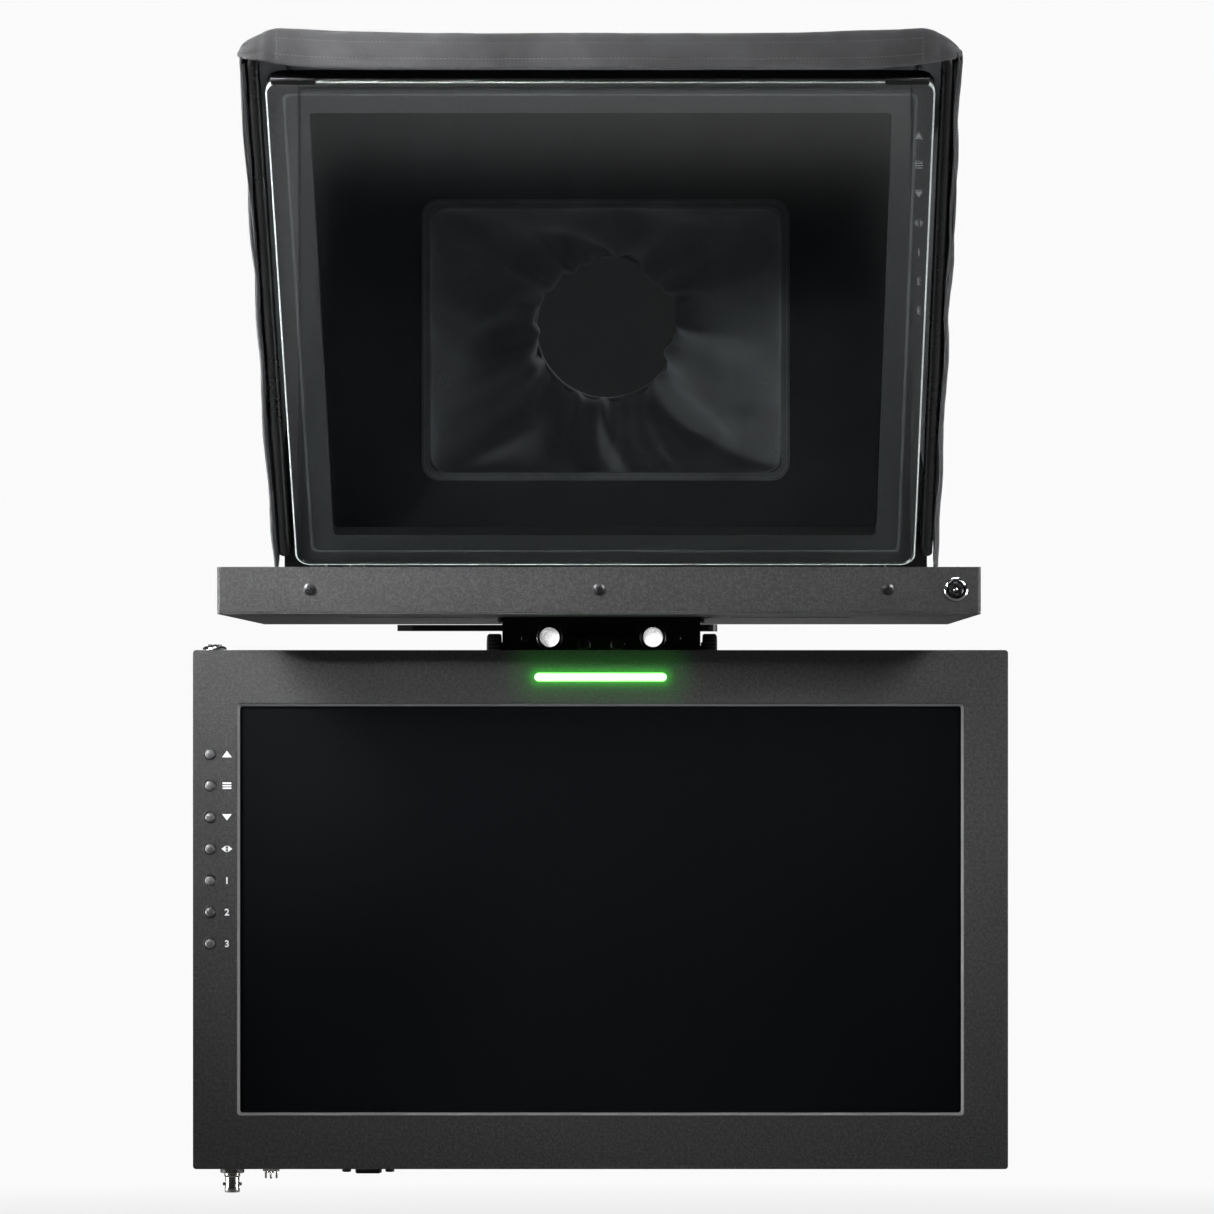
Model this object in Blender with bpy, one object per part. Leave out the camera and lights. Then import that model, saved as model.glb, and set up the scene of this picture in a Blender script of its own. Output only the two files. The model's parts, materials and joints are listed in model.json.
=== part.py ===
"""A studio teleprompter on 15 mm rods, with a talent monitor hung below the prompter monitor.

Sizes are written in millimetres and scaled by MM when a mesh is made. The origin is the middle
of the base plate's underside, where a tripod plate bolts on. +Z is up, and the talent stands
on the -Y side and looks along +Y into the lens.
"""

import math

import bmesh
import bpy
from mathutils import Matrix, Vector

MM = 0.001
GAP = 0.3  # clearance left between neighbouring pieces

# Rods, base plate and the head's carriage.
ROD_RADIUS = 7.5
ROD_BORE = 5.7
ROD_SPACING = 60.0
ROD_HEIGHT = 21.5
ROD_FRONT = -402.0
ROD_LENGTH = 508.0
BASE_WIDTH = 100.0
BASE_LENGTH = 120.0
BASE_HEIGHT = 34.0
CARRIAGE_WIDTH = 115.0
CARRIAGE_FRONT = -398.0
CARRIAGE_LENGTH = 68.0
CARRIAGE_BOTTOM = 9.0
CARRIAGE_TOP = 30.0
MOUNT_PLATE_THICKNESS = 2.4
LEVER_PIVOT = (-49.0, -343.0)
LEVER_BOTTOM = 25.7
LEVER_TOP = 29.7
STOP_REACH = 10.3  # how far the lever's stop stands out on the other side
CLAMP_KNOB_HEIGHT = 14.0
CLAMP_KNOB_Y = -364.0

# Both monitors share a case style: borders, a column of buttons and a power button.
CASE_WALL = 2.5
FACE_THICKNESS = 3.0
WINDOW_BEVEL = 1.6
BUTTON_INSET = 9.8
BUTTON_START = 59.6
BUTTON_PITCH = 18.1
BUTTON_RADIUS = 3.0
BUTTON_NAMES = ("up", "menu", "down", "flip", "input_1", "input_2", "input_3")
POWER_RADIUS = 6.85
SOCKET_XS = {"bnc": 20.3, "dc": 42.8, "vga": 98.9, "hdmi": 139.0}  # from the buttons' edge

# Talent monitor, upright, facing the talent.
TALENT_WIDTH = 467.0
TALENT_HEIGHT = 297.4
TALENT_TOP = 13.6
TALENT_FRONT = -440.0
TALENT_BEZEL_DEPTH = 16.0
TALENT_DEPTH = 42.0
TALENT_WINDOW = (413.4, 233.0)
TALENT_PANEL = (430.0, 246.0, 10.0)
TALLY_LENGTH = 75.0
TALLY_HEIGHT = 4.6
TALLY_INSET = 15.5
TILT_PIVOT = (-388.4, -20.0)
RAIL_BOTTOM = -232.0

# Prompter monitor, lying screen-up with the top of its picture at the front.
PROMPTER_WIDTH = 428.0
PROMPTER_HEIGHT = 365.0
PROMPTER_BOTTOM = 33.0
PROMPTER_DEPTH = 26.4
PROMPTER_FRONT = -510.0
PROMPTER_WINDOW = (379.0, 304.0)
PROMPTER_PANEL = (396.0, 324.0, 9.0)
PROMPTER_TOP = PROMPTER_BOTTOM + PROMPTER_DEPTH

# Beam splitter at 45 degrees and the hood behind it, on one hinge line.
HINGE = (-173.5, 65.3)
GLASS_ANGLE = math.radians(45.0)
GLASS_WIDTH = 383.0
GLASS_LENGTH = 380.0
GLASS_START = 10.0
GLASS_THICKNESS = 3.0
GLASS_CORNER = 9.0
FRAME_RAIL = 24.0
FRAME_BACK = -6.0
FRAME_FACE = 1.5
BOW_RADIUS = 4.0
BOW_X = 198.5
BOW_END = 412.0
HOOD_HALF_WIDTH = 205.0
HOOD_TOP = 366.0
HOOD_FRONT = -471.0
HOOD_REAR = -160.5
HOOD_WALL = 2.0
BAND_HEIGHT = 20.0
PANEL_HALF_WIDTH = 200.0
PANEL_Y = (-165.5, -162.5)
PANEL_Z = (64.0, 361.5)
APERTURE = (110.0, 83.0)
APERTURE_Z = 211.0
LENS_Z = 224.0
SLEEVE_END = -86.0
SLEEVE_SIDES = 16

BLACK = (0.012, 0.012, 0.013)
MATERIALS = {
    "powder_coat": (BLACK, 0.55, 0.3),
    "black_plastic": ((0.016, 0.016, 0.017), 0.45, 0.0),
    "screen": ((0.006, 0.006, 0.007), 0.3, 0.0),
    "circuit_board": ((0.02, 0.12, 0.05), 0.5, 0.0),
    "anodised": ((0.02, 0.02, 0.022), 0.35, 0.8),
    "steel": ((0.6, 0.6, 0.62), 0.25, 1.0),
    "glass": ((0.75, 0.8, 0.8), 0.03, 0.0),
    "tally": ((0.35, 1.0, 0.35), 0.3, 0.0),
    "fabric": ((0.01, 0.01, 0.011), 0.9, 0.0),
    "button_cap": ((0.05, 0.05, 0.055), 0.35, 0.0),
}


# ---------------------------------------------------------------- outlines and solids


def circle(radius, sides, centre=(0.0, 0.0)):
    turns = [2 * math.pi * i / sides for i in range(sides)]
    return [(centre[0] + radius * math.cos(a), centre[1] + radius * math.sin(a)) for a in turns]


def rounded(width, height, radius, steps=3, centre=(0.0, 0.0)):
    """A rectangle with round corners, each of steps + 1 points."""
    points = []
    for corner, (sx, sy) in enumerate(((1, 1), (-1, 1), (-1, -1), (1, -1))):
        cx = centre[0] + sx * (width / 2 - radius)
        cy = centre[1] + sy * (height / 2 - radius)
        for step in range(steps + 1):
            angle = math.pi / 2 * (corner + step / steps)
            points.append((cx + radius * math.cos(angle), cy + radius * math.sin(angle)))
    return points


def rectangle(x0, x1, y0, y1):
    return [(x0, y0), (x1, y0), (x1, y1), (x0, y1)]


def lift(outline, z):
    return [(x, y, z) for x, y in outline]


def loft(sections, ring=False):
    """A closed skin through outlines of equal length, capped at its ends or joined in a ring."""
    solid = bmesh.new()
    rows = [[solid.verts.new(point) for point in section] for section in sections]
    pairs = list(zip(rows, rows[1:]))
    if ring:
        pairs.append((rows[-1], rows[0]))
    for low, high in pairs:
        for i in range(len(low)):
            j = (i + 1) % len(low)
            solid.faces.new((low[i], low[j], high[j], high[i]))
    if not ring:
        solid.faces.new(rows[0][::-1])
        solid.faces.new(rows[-1])
    bmesh.ops.recalc_face_normals(solid, faces=solid.faces)
    return solid


def prism(outline, z0, z1):
    return loft([lift(outline, z0), lift(outline, z1)])


def box(low, high):
    return prism(rectangle(low[0], high[0], low[1], high[1]), low[2], high[2])


def turned(profile, sides=16, ring=False):
    """A turned solid about local +Z, from (radius, height) stations."""
    return loft([lift(circle(radius, sides), height) for radius, height in profile], ring)


def moved(solid, matrix):
    bmesh.ops.transform(solid, matrix=matrix, verts=solid.verts)
    return solid


def along(axis, at=(0.0, 0.0, 0.0)):
    """The matrix that stands local +Z along an axis, at a point."""
    turn = Vector((0, 0, 1)).rotation_difference(Vector(axis)).to_matrix().to_4x4()
    return Matrix.Translation(at) @ turn


def side_prism(outline, x0, x1):
    """An outline in the YZ plane, extruded along X."""
    return loft([[(x, y, z) for y, z in outline] for x in (x0, x1)])


def together(solids):
    """Separate solids held in one mesh, to cut or join in one step."""
    whole = bmesh.new()
    for solid in solids:
        mesh = bpy.data.meshes.new("part of a cutter")
        solid.to_mesh(mesh)
        whole.from_mesh(mesh)
        bpy.data.meshes.remove(mesh)
    return whole


# ---------------------------------------------------------------- objects


def clear_scene():
    for obj in list(bpy.data.objects):
        bpy.data.objects.remove(obj)


def make_material(name):
    colour, roughness, metallic = MATERIALS[name]
    material = bpy.data.materials.new(name)
    material.use_nodes = True
    shader = material.node_tree.nodes["Principled BSDF"]
    shader.inputs["Base Color"].default_value = (*colour, 1.0)
    shader.inputs["Roughness"].default_value = roughness
    shader.inputs["Metallic"].default_value = metallic
    return material


def make_empty(name, at, parent=None):
    """A joint's frame: its children's locations are counted from it."""
    empty = bpy.data.objects.new(name, None)
    bpy.context.collection.objects.link(empty)
    empty["at"] = at
    empty.parent = parent
    base = Vector(parent["at"]) if parent else Vector((0, 0, 0))
    empty.location = (Vector(at) - base) * MM
    return empty


def make_object(name, solid, parent, at, material=None):
    """An object whose origin is at a point, or at its parent's, from a solid in world millimetres."""
    origin = Vector(at) if at else Vector(parent["at"])
    moved(solid, Matrix.Diagonal((MM, MM, MM, 1)) @ Matrix.Translation(-origin))
    mesh = bpy.data.meshes.new(name)
    solid.to_mesh(mesh)
    mesh.shade_smooth()
    mesh.set_sharp_from_angle(angle=math.radians(35))
    if material:
        mesh.materials.append(material)
    obj = bpy.data.objects.new(name, mesh)
    bpy.context.collection.objects.link(obj)
    obj.parent = parent
    obj.location = (origin - Vector(parent["at"])) * MM
    return obj


def apply_boolean(obj, operation, solid, parent, at=None):
    """Joins a helper solid to a piece, or cuts it away."""
    helper = make_object(f"{obj.name} {operation.lower()}", solid, parent, at)
    helper.hide_render = True
    helper.display_type = "WIRE"
    step = obj.modifiers.new(operation.lower(), "BOOLEAN")
    step.operation = operation
    step.solver = "EXACT"
    step.object = helper


def add(name, solid, material, parent, at=None, joins=(), cuts=()):
    """A named piece: a solid, then the solids joined to it, then those cut from it."""
    obj = make_object(name, solid, parent, at, SLOTS[material])
    for joined in joins:
        apply_boolean(obj, "UNION", joined, parent, at)
    for cutter in cuts:
        apply_boolean(obj, "DIFFERENCE", cutter, parent, at)
    return obj


# ---------------------------------------------------------------- monitors


class Monitor:
    """A case seen from its screen side: local X is the viewer's right, Y is up the picture and
    Z comes out of the screen, with the local origin at the middle of the front face."""

    def __init__(self, name, width, height, bezel_depth, window, panel, to_world, parent):
        self.name = name
        self.width = width
        self.height = height
        self.bezel_depth = bezel_depth
        self.window = window
        self.panel = panel
        self.to_world = to_world
        self.parent = parent

    def place(self, solid):
        return moved(solid, self.to_world)

    def point(self, x, y, z):
        return self.to_world @ Vector((x, y, z))

    def button_x(self):
        return BUTTON_INSET - self.width / 2

    def button_ys(self):
        return [self.height / 2 - BUTTON_START - BUTTON_PITCH * i for i in range(len(BUTTON_NAMES))]

    def from_edge(self, distance):
        """Local x at a distance from the buttons' edge."""
        return distance - self.width / 2


def window_cutter(monitor):
    half_bevel = 2 * WINDOW_BEVEL
    stations = ((1.0, half_bevel + 2.0), (0.0, half_bevel), (-WINDOW_BEVEL, 0.0), (-5.0, 0.0))
    wide, high = monitor.window
    return loft([lift(rounded(wide + more, high + more, 1.5, 2), z) for z, more in stations])


def front_bezel(monitor, power_x, power_z, extra_cuts=(), round_cuts=()):
    """The front shell: a folded tray with the screen's window and the controls' holes."""
    width, height = monitor.width, monitor.height
    shell = prism(rounded(width, height, 1.6, 2), -monitor.bezel_depth, 0.0)
    hollow = prism(
        rounded(width - 2 * CASE_WALL, height - 2 * CASE_WALL, 1.0, 1),
        -monitor.bezel_depth - 5.0,
        -FACE_THICKNESS,
    )
    holes = [
        moved(turned([(BUTTON_RADIUS + 0.35, -6.0), (BUTTON_RADIUS + 0.35, 2.0)], 12),
              Matrix.Translation((monitor.button_x(), y, 0.0)))
        for y in monitor.button_ys()
    ]
    power = moved(turned([(5.2, -6.0), (5.2, 4.0)]),
                  along((0, 1, 0), (power_x, height / 2, power_z)))
    cuts = [hollow, window_cutter(monitor), together([*holes, power, *round_cuts]), *extra_cuts]
    add(f"{monitor.name}_front_bezel", monitor.place(shell), "powder_coat", monitor.parent,
        cuts=[monitor.place(cut) for cut in cuts])


def lcd_panel(monitor):
    wide, high, deep = monitor.panel
    back = -FACE_THICKNESS - GAP - deep
    solid = box((-wide / 2, -high / 2, back), (wide / 2, high / 2, back + deep))
    add(f"{monitor.name}_lcd_panel", monitor.place(solid), "screen", monitor.parent)


def button_solid():
    """A domed cap on a stem, held behind the panel by its flange."""
    behind = -FACE_THICKNESS - GAP
    return turned(
        [(1.6, 1.2), (BUTTON_RADIUS, 0.4), (BUTTON_RADIUS, behind),
         (BUTTON_RADIUS + 1.2, behind), (BUTTON_RADIUS + 1.2, behind - 1.1)], 12)


def push_buttons(monitor):
    for label, y in zip(BUTTON_NAMES, monitor.button_ys()):
        solid = moved(button_solid(), Matrix.Translation((monitor.button_x(), y, 0.0)))
        add(f"{monitor.name}_button_{label}", monitor.place(solid), "button_cap",
            monitor.parent, at=monitor.point(monitor.button_x(), y, 0.0))


def button_board(monitor):
    ys = monitor.button_ys()
    x = monitor.button_x()
    solid = box((x - 4.8, ys[-1] - 8.0, -8.0), (x + 3.8, ys[0] + 8.0, -6.4))
    add(f"{monitor.name}_button_board", monitor.place(solid), "circuit_board", monitor.parent)


def control_board(monitor, low, high):
    """The main board, with its processor's cooler and a row of capacitors as one body."""
    board = box(low, high)
    middle = ((low[0] + high[0]) / 2, (low[1] + high[1]) / 2)
    inside = high[2] - 0.5
    cooler = box((middle[0] - 15, middle[1] - 15, low[2] - 4.0),
                 (middle[0] + 15, middle[1] + 15, inside))
    capacitors = box((low[0] + 10, high[1] - 16, low[2] - 3.0),
                     (low[0] + 34, high[1] - 8, inside))
    add(f"{monitor.name}_control_board", monitor.place(board), "circuit_board", monitor.parent,
        joins=[monitor.place(together([cooler, capacitors]))])


def power_button(monitor, x, z):
    """A flanged tube in the case's edge with a push button inside it."""
    seat = monitor.to_world @ along((0, 1, 0), (x, monitor.height / 2, z))
    at = seat @ Vector((0, 0, 0))
    tube = turned(
        [(POWER_RADIUS, GAP), (POWER_RADIUS, 1.2), (POWER_RADIUS - 1.2, 2.2), (4.4, 2.2),
         (4.4, -8.0), (4.9, -8.0), (4.9, GAP)], 16, ring=True)
    cap = turned([(2.6, 3.5), (4.0, 2.9), (4.0, -7.0)], 16)
    add(f"{monitor.name}_power_bezel", moved(tube, seat), "steel", monitor.parent)
    add(f"{monitor.name}_power_button", moved(cap, seat), "button_cap", monitor.parent, at=at)


# Sockets are built about local +Z, which points out of the wall, with the wall's outer face at 0.


def bnc_solids():
    barrel = turned(
        [(6.5, -14.0), (6.5, -2.6), (4.9, -2.6), (4.9, 3.0), (4.5, 3.4), (4.5, 16.2),
         (3.8, 16.2), (3.8, 13.5), (1.4, 13.5), (1.4, 9.0)], 16)
    return barrel, prism(circle(7.5, 6), GAP, 3.1)


def dc_solid():
    return turned(
        [(5.0, -11.0), (5.0, -2.6), (3.5, -2.6), (3.5, GAP), (4.7, GAP), (4.7, 2.2),
         (3.15, 2.2), (3.15, 8.2), (1.8, 8.2), (1.8, 1.0)], 16)


def d_outline(width, height, slant=1.6):
    """The D shape of a video socket, wider along its -Y side."""
    half, tall = width / 2, height / 2
    return [(-half, -tall), (half, -tall), (half - slant, tall), (-half + slant, tall)]


def vga_solids():
    body = box((-15.5, -6.2, -10.0), (15.5, 6.2, -2.6))
    shell = prism(d_outline(16.0, 8.0), -4.0, 3.0)
    screws = []
    for side in (-12.5, 12.5):
        screws.append(moved(turned([(1.5, -4.0), (1.5, 1.0)], 8), Matrix.Translation((side, 0, 0))))
        screws.append(moved(prism(circle(2.75, 6), GAP, 2.3), Matrix.Translation((side, 0, 0))))
    return body, [shell, together(screws[0::2]), together(screws[1::2])]


def hdmi_solids():
    body = box((-8.5, -4.0, -11.0), (8.5, 4.0, -2.6))
    nose = box((-7.5, -3.0, -3.6), (7.5, 3.0, -0.2))
    mouth = box((-6.9, -2.5, -8.5), (6.9, 2.5, 2.0))
    return body, nose, mouth


def socket_cutters():
    """Holes for the four sockets, by name, about the same local +Z."""
    vga = [prism(d_outline(16.8, 8.8), -5.0, 3.0)]
    for side in (-12.5, 12.5):
        vga.append(moved(turned([(1.9, -5.0), (1.9, 3.0)], 8), Matrix.Translation((side, 0, 0))))
    return {
        "bnc": together([turned([(5.2, -5.0), (5.2, 3.0)])]),
        "dc": together([turned([(3.9, -5.0), (3.9, 3.0)])]),
        "vga": together(vga),
        "hdmi": box((-7.8, -3.3, -5.0), (7.8, 3.3, 3.0)),
    }


def socket_seat(x, wall_y, z):
    """Local matrix of a socket in the case's lower edge, pointing down the picture."""
    return Matrix.Translation((x, wall_y, z)) @ Matrix.Rotation(math.radians(90), 4, "X")


# ---------------------------------------------------------------- talent monitor


def talent_rear_cover(monitor, socket_z, wall_y):
    """The rear shell: a vented tray, tapered at its back edge, with the sockets in its floor."""
    left = monitor.width / 2 - 4.0
    top = monitor.height / 2 - 14.0
    front = -TALENT_BEZEL_DEPTH - GAP
    wall = 2.0

    def skin(stations, floor):
        return loft([lift(rectangle(-left + inset, left - inset, floor, top - inset), z)
                     for z, inset in stations])

    shell = skin([(front, 0.0), (-34.0, 0.0), (-TALENT_DEPTH, 8.0)], wall_y)
    inner = skin([(front + 5.0, wall), (-33.6, wall), (-TALENT_DEPTH + wall, wall + 8.0)],
                 wall_y + wall)
    slots = [
        box((side * 78.0 - 30.0, 74.0 + 7.0 * row, -TALENT_DEPTH - 3.0),
            (side * 78.0 + 30.0, 77.0 + 7.0 * row, -TALENT_DEPTH + 5.0))
        for side in (-1, 1) for row in range(5)
    ]
    sockets = [
        moved(cutter, socket_seat(monitor.from_edge(SOCKET_XS[name]), wall_y, socket_z))
        for name, cutter in socket_cutters().items()
    ]
    cuts = [inner, together(slots), together(sockets)]
    add("talent_rear_cover", monitor.place(shell), "powder_coat", monitor.parent,
        cuts=[monitor.place(cut) for cut in cuts])


def talent_sockets(monitor, socket_z, wall_y):
    def seat(name):
        return monitor.to_world @ socket_seat(monitor.from_edge(SOCKET_XS[name]), wall_y, socket_z)

    barrel, nut = bnc_solids()
    add("bnc_socket", moved(barrel, seat("bnc")), "steel", monitor.parent,
        joins=[moved(nut, seat("bnc"))])
    add("dc_socket", moved(dc_solid(), seat("dc")), "black_plastic", monitor.parent)
    body, joined = vga_solids()
    add("vga_socket", moved(body, seat("vga")), "steel", monitor.parent,
        joins=[moved(solid, seat("vga")) for solid in joined])
    body, nose, mouth = hdmi_solids()
    add("hdmi_socket", moved(body, seat("hdmi")), "steel", monitor.parent,
        joins=[moved(nose, seat("hdmi"))], cuts=[moved(mouth, seat("hdmi"))])


def tally_light(monitor):
    """The green bar in the top border, and the board of lamps behind it."""
    y = monitor.height / 2 - TALLY_INSET
    behind = -FACE_THICKNESS - GAP
    bar = rounded(TALLY_LENGTH, TALLY_HEIGHT, TALLY_HEIGHT / 2, 4, (0.0, y))
    flange = rounded(TALLY_LENGTH + 4.0, TALLY_HEIGHT + 3.0, TALLY_HEIGHT / 2 + 1.5, 4, (0.0, y))
    lens = loft([lift(bar, 0.4), lift(bar, behind), lift(flange, behind),
                 lift(flange, behind - 1.5)])
    add("tally_lens", monitor.place(lens), "tally", monitor.parent)
    board = box((-TALLY_LENGTH / 2 - 4, y - 3.8, -9.0), (TALLY_LENGTH / 2 + 4, y + 3.8, -7.4))
    add("tally_led_board", monitor.place(board), "circuit_board", monitor.parent)


def build_talent_monitor(height_frame):
    middle = TALENT_TOP - TALENT_HEIGHT / 2
    to_world = (Matrix.Translation((0, TALENT_FRONT, middle))
                @ Matrix.Rotation(math.radians(90), 4, "X"))
    monitor = Monitor("talent", TALENT_WIDTH, TALENT_HEIGHT, TALENT_BEZEL_DEPTH,
                      TALENT_WINDOW, TALENT_PANEL, to_world, height_frame)
    power_x, power_z = monitor.from_edge(11.9), -8.0
    tally_y = TALENT_HEIGHT / 2 - TALLY_INSET
    slot_outline = rounded(TALLY_LENGTH + 2 * GAP, TALLY_HEIGHT + 2 * GAP,
                           TALLY_HEIGHT / 2 + GAP, 4, (0.0, tally_y))
    tally_slot = prism(slot_outline, -6.0, 2.0)
    socket_z = -29.0
    wall_y = 0.5 - TALENT_HEIGHT / 2
    front_bezel(monitor, power_x, power_z, round_cuts=[tally_slot])
    talent_rear_cover(monitor, socket_z, wall_y)
    lcd_panel(monitor)
    push_buttons(monitor)
    button_board(monitor)
    control_board(monitor, (-214.0, -126.0, -21.0), (-60.0, -46.0, -19.4))
    power_button(monitor, power_x, power_z)
    tally_light(monitor)
    talent_sockets(monitor, socket_z, wall_y)


def build_talent_mount(head, tilt_frame, height_frame):
    """The bracket under the carriage, the tilting rail and the plate that slides on it."""
    y, z = TILT_PIVOT
    across = along((1, 0, 0), (0.0, y, z))
    ear = [(-389.0, 5.0), (-389.0, -14.0), (-396.0, -17.5), (-396.3, -20.0), (-394.0, -25.5),
           (-388.4, -28.0), (-382.8, -25.5), (-380.6, -20.0), (-366.0, 5.0)]
    ears = together([side_prism(ear, -26.0, -20.8), side_prism(ear, 20.8, 26.0)])
    pad = box((-35.0, -394.0, 4.2), (35.0, -336.0, CARRIAGE_BOTTOM - GAP))
    pin_hole = moved(turned([(4.3, -40.0), (4.3, 40.0)]), across)
    add("drop_bracket", pad, "anodised", head, joins=[ears], cuts=[pin_hole])

    rail = box((-20.0, y - 4.0, RAIL_BOTTOM), (20.0, y + 4.0, z - 2.0))
    barrel = moved(turned([(8.0, -20.4), (8.0, 20.4)]), across.copy())
    bore = moved(turned([(4.3, -25.0), (4.3, 25.0)]), across.copy())
    add("tilt_rail", rail, "anodised", tilt_frame, joins=[barrel], cuts=[bore])

    knob = turned([(4.0, -52.0), (4.0, 0.4), (6.0, 0.4), (6.0, 2.0), (8.0, 2.6), (9.0, 4.0),
                   (9.0, 12.0), (7.0, 14.0)])
    add("tilt_knob", moved(knob, along((1, 0, 0), (26.0, y, z))), "black_plastic", head,
        at=(26.0, y, z))

    middle = TALENT_TOP - TALENT_HEIGHT / 2
    plate_back = y - 4.0 - GAP
    plate = box((-60.0, plate_back - 5.0, middle - 60.0), (60.0, plate_back, middle + 60.0))
    sleeve_back = y + 4.0 + GAP + 5.7
    sleeve = box((-28.0, plate_back - 0.5, middle - 30.0), (28.0, sleeve_back, middle + 30.0))
    channel = box((-20.0 - GAP, plate_back - GAP, middle - 40.0),
                  (20.0 + GAP, y + 4.0 + GAP, middle + 40.0))
    knob_at = (0.0, sleeve_back, middle)
    knob_hole = moved(turned([(3.3, -9.0), (3.3, 4.0)], 12), along((0, 1, 0), knob_at))
    add("talent_mount_plate", plate, "anodised", height_frame, joins=[sleeve],
        cuts=[channel, knob_hole])
    knob = turned([(3.0, -5.4), (3.0, 0.4), (5.0, 0.4), (5.0, 2.0), (12.0, 2.6), (13.0, 5.0),
                   (13.0, 12.0), (10.0, 14.0)])
    add("height_knob", moved(knob, along((0, 1, 0), knob_at)), "black_plastic", height_frame,
        at=knob_at)


# ---------------------------------------------------------------- prompter monitor


def prompter_rear_cover(monitor, screw_xs, screw_z, power_x):
    """The floor of the case, with an upstand inside the front shell that the screws reach."""
    width, height = monitor.width, monitor.height
    floor = prism(rounded(width, height, 1.6, 2), -PROMPTER_DEPTH, -PROMPTER_DEPTH + 1.1)
    inside = CASE_WALL + GAP
    upstand = prism(rounded(width - 2 * inside, height - 2 * inside, 1.4, 2),
                    -PROMPTER_DEPTH + 0.5, -9.0)
    hollow_inset = inside + 1.5
    hollow = prism(rounded(width - 2 * hollow_inset, height - 2 * hollow_inset, 1.0, 2),
                   -PROMPTER_DEPTH + 1.8, 0.0)
    front = height / 2
    holes = [moved(turned([(2.2, -10.0), (2.2, 3.0)], 12), along((0, 1, 0), (x, front, screw_z)))
             for x in screw_xs]
    holes.append(moved(turned([(6.0, -12.0), (6.0, 3.0)]),
                       along((0, 1, 0), (power_x, front, screw_z))))
    opening = box((monitor.from_edge(8.0), -front - 5.0, -22.6),
                  (monitor.from_edge(160.0), -front + 9.0, -6.0))
    slots = [
        box((side * 110.0 - 35.0, 60.0 + 8.0 * row, -PROMPTER_DEPTH - 3.0),
            (side * 110.0 + 35.0, 63.0 + 8.0 * row, -PROMPTER_DEPTH + 5.0))
        for side in (-1, 1) for row in range(5)
    ]
    cuts = [hollow, together(holes), opening, together(slots)]
    add("prompter_rear_cover", monitor.place(floor), "powder_coat", monitor.parent,
        joins=[monitor.place(upstand)], cuts=[monitor.place(cut) for cut in cuts])


def prompter_socket_plate(monitor, socket_z):
    """One plate in the case's rear edge that carries the power and picture sockets."""
    wall_y = -monitor.height / 2
    low, high = monitor.from_edge(8.0 + GAP), monitor.from_edge(160.0 - GAP)
    plate = box((low, wall_y, socket_z - 6.6), (high, wall_y + 2.2, socket_z + 6.6))
    joined = []
    barrel, nut = bnc_solids()
    vga_body, vga_extra = vga_solids()
    hdmi_body, hdmi_nose, mouth = hdmi_solids()
    for name, solids in (("bnc", [barrel, nut]), ("dc", [dc_solid()]),
                         ("vga", [vga_body, *vga_extra]), ("hdmi", [hdmi_body, hdmi_nose])):
        seat = socket_seat(monitor.from_edge(SOCKET_XS[name]), wall_y, socket_z)
        joined.extend(moved(solid, seat) for solid in solids)
    mouth = moved(mouth, socket_seat(monitor.from_edge(SOCKET_XS["hdmi"]), wall_y, socket_z))
    add("prompter_socket_plate", monitor.place(plate), "steel", monitor.parent,
        joins=[monitor.place(solid) for solid in joined], cuts=[monitor.place(mouth)])


def case_screws(monitor, screw_xs, screw_z):
    for label, x in zip(("left", "centre", "right"), screw_xs):
        screw = turned([(1.2, 2.0), (2.9, 1.5), (3.4, GAP), (1.9, GAP), (1.9, -7.0)], 12)
        seat = monitor.to_world @ along((0, 1, 0), (x, monitor.height / 2, screw_z))
        add(f"prompter_case_screw_{label}", moved(screw, seat), "steel", monitor.parent)


def build_prompter_monitor(head):
    middle_y = PROMPTER_FRONT + PROMPTER_HEIGHT / 2
    to_world = (Matrix.Translation((0, middle_y, PROMPTER_TOP))
                @ Matrix.Rotation(math.radians(180), 4, "Z"))
    monitor = Monitor("prompter", PROMPTER_WIDTH, PROMPTER_HEIGHT, PROMPTER_DEPTH - 1.1 - GAP,
                      PROMPTER_WINDOW, PROMPTER_PANEL, to_world, head)
    screw_xs = (162.0, 0.0, -162.0)
    edge_z = -12.6
    socket_z = -14.3
    power_x = monitor.from_edge(14.0)
    front = PROMPTER_HEIGHT / 2
    screw_holes = [moved(turned([(2.2, -6.0), (2.2, 3.0)], 12), along((0, 1, 0), (x, front, edge_z)))
                   for x in screw_xs]
    opening = box((monitor.from_edge(8.0), -front - 5.0, socket_z - 6.9),
                  (monitor.from_edge(160.0), -front + 8.0, socket_z + 6.9))
    front_bezel(monitor, power_x, edge_z, extra_cuts=[opening], round_cuts=screw_holes)
    prompter_rear_cover(monitor, screw_xs, edge_z, power_x)
    lcd_panel(monitor)
    push_buttons(monitor)
    button_board(monitor)
    control_board(monitor, (-150.0, -160.0, -19.0), (60.0, -60.0, -17.4))
    power_button(monitor, power_x, edge_z)
    case_screws(monitor, screw_xs, edge_z)
    prompter_socket_plate(monitor, socket_z)


# ---------------------------------------------------------------- rods, base plate and carriage


def rod_axis(side):
    return side * ROD_SPACING / 2


def rod_holes(y0, y1):
    return together([
        moved(turned([(ROD_RADIUS + GAP, 0.0), (ROD_RADIUS + GAP, y1 - y0)], 24),
              along((0, 1, 0), (rod_axis(side), y0, ROD_HEIGHT)))
        for side in (-1, 1)
    ])


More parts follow.
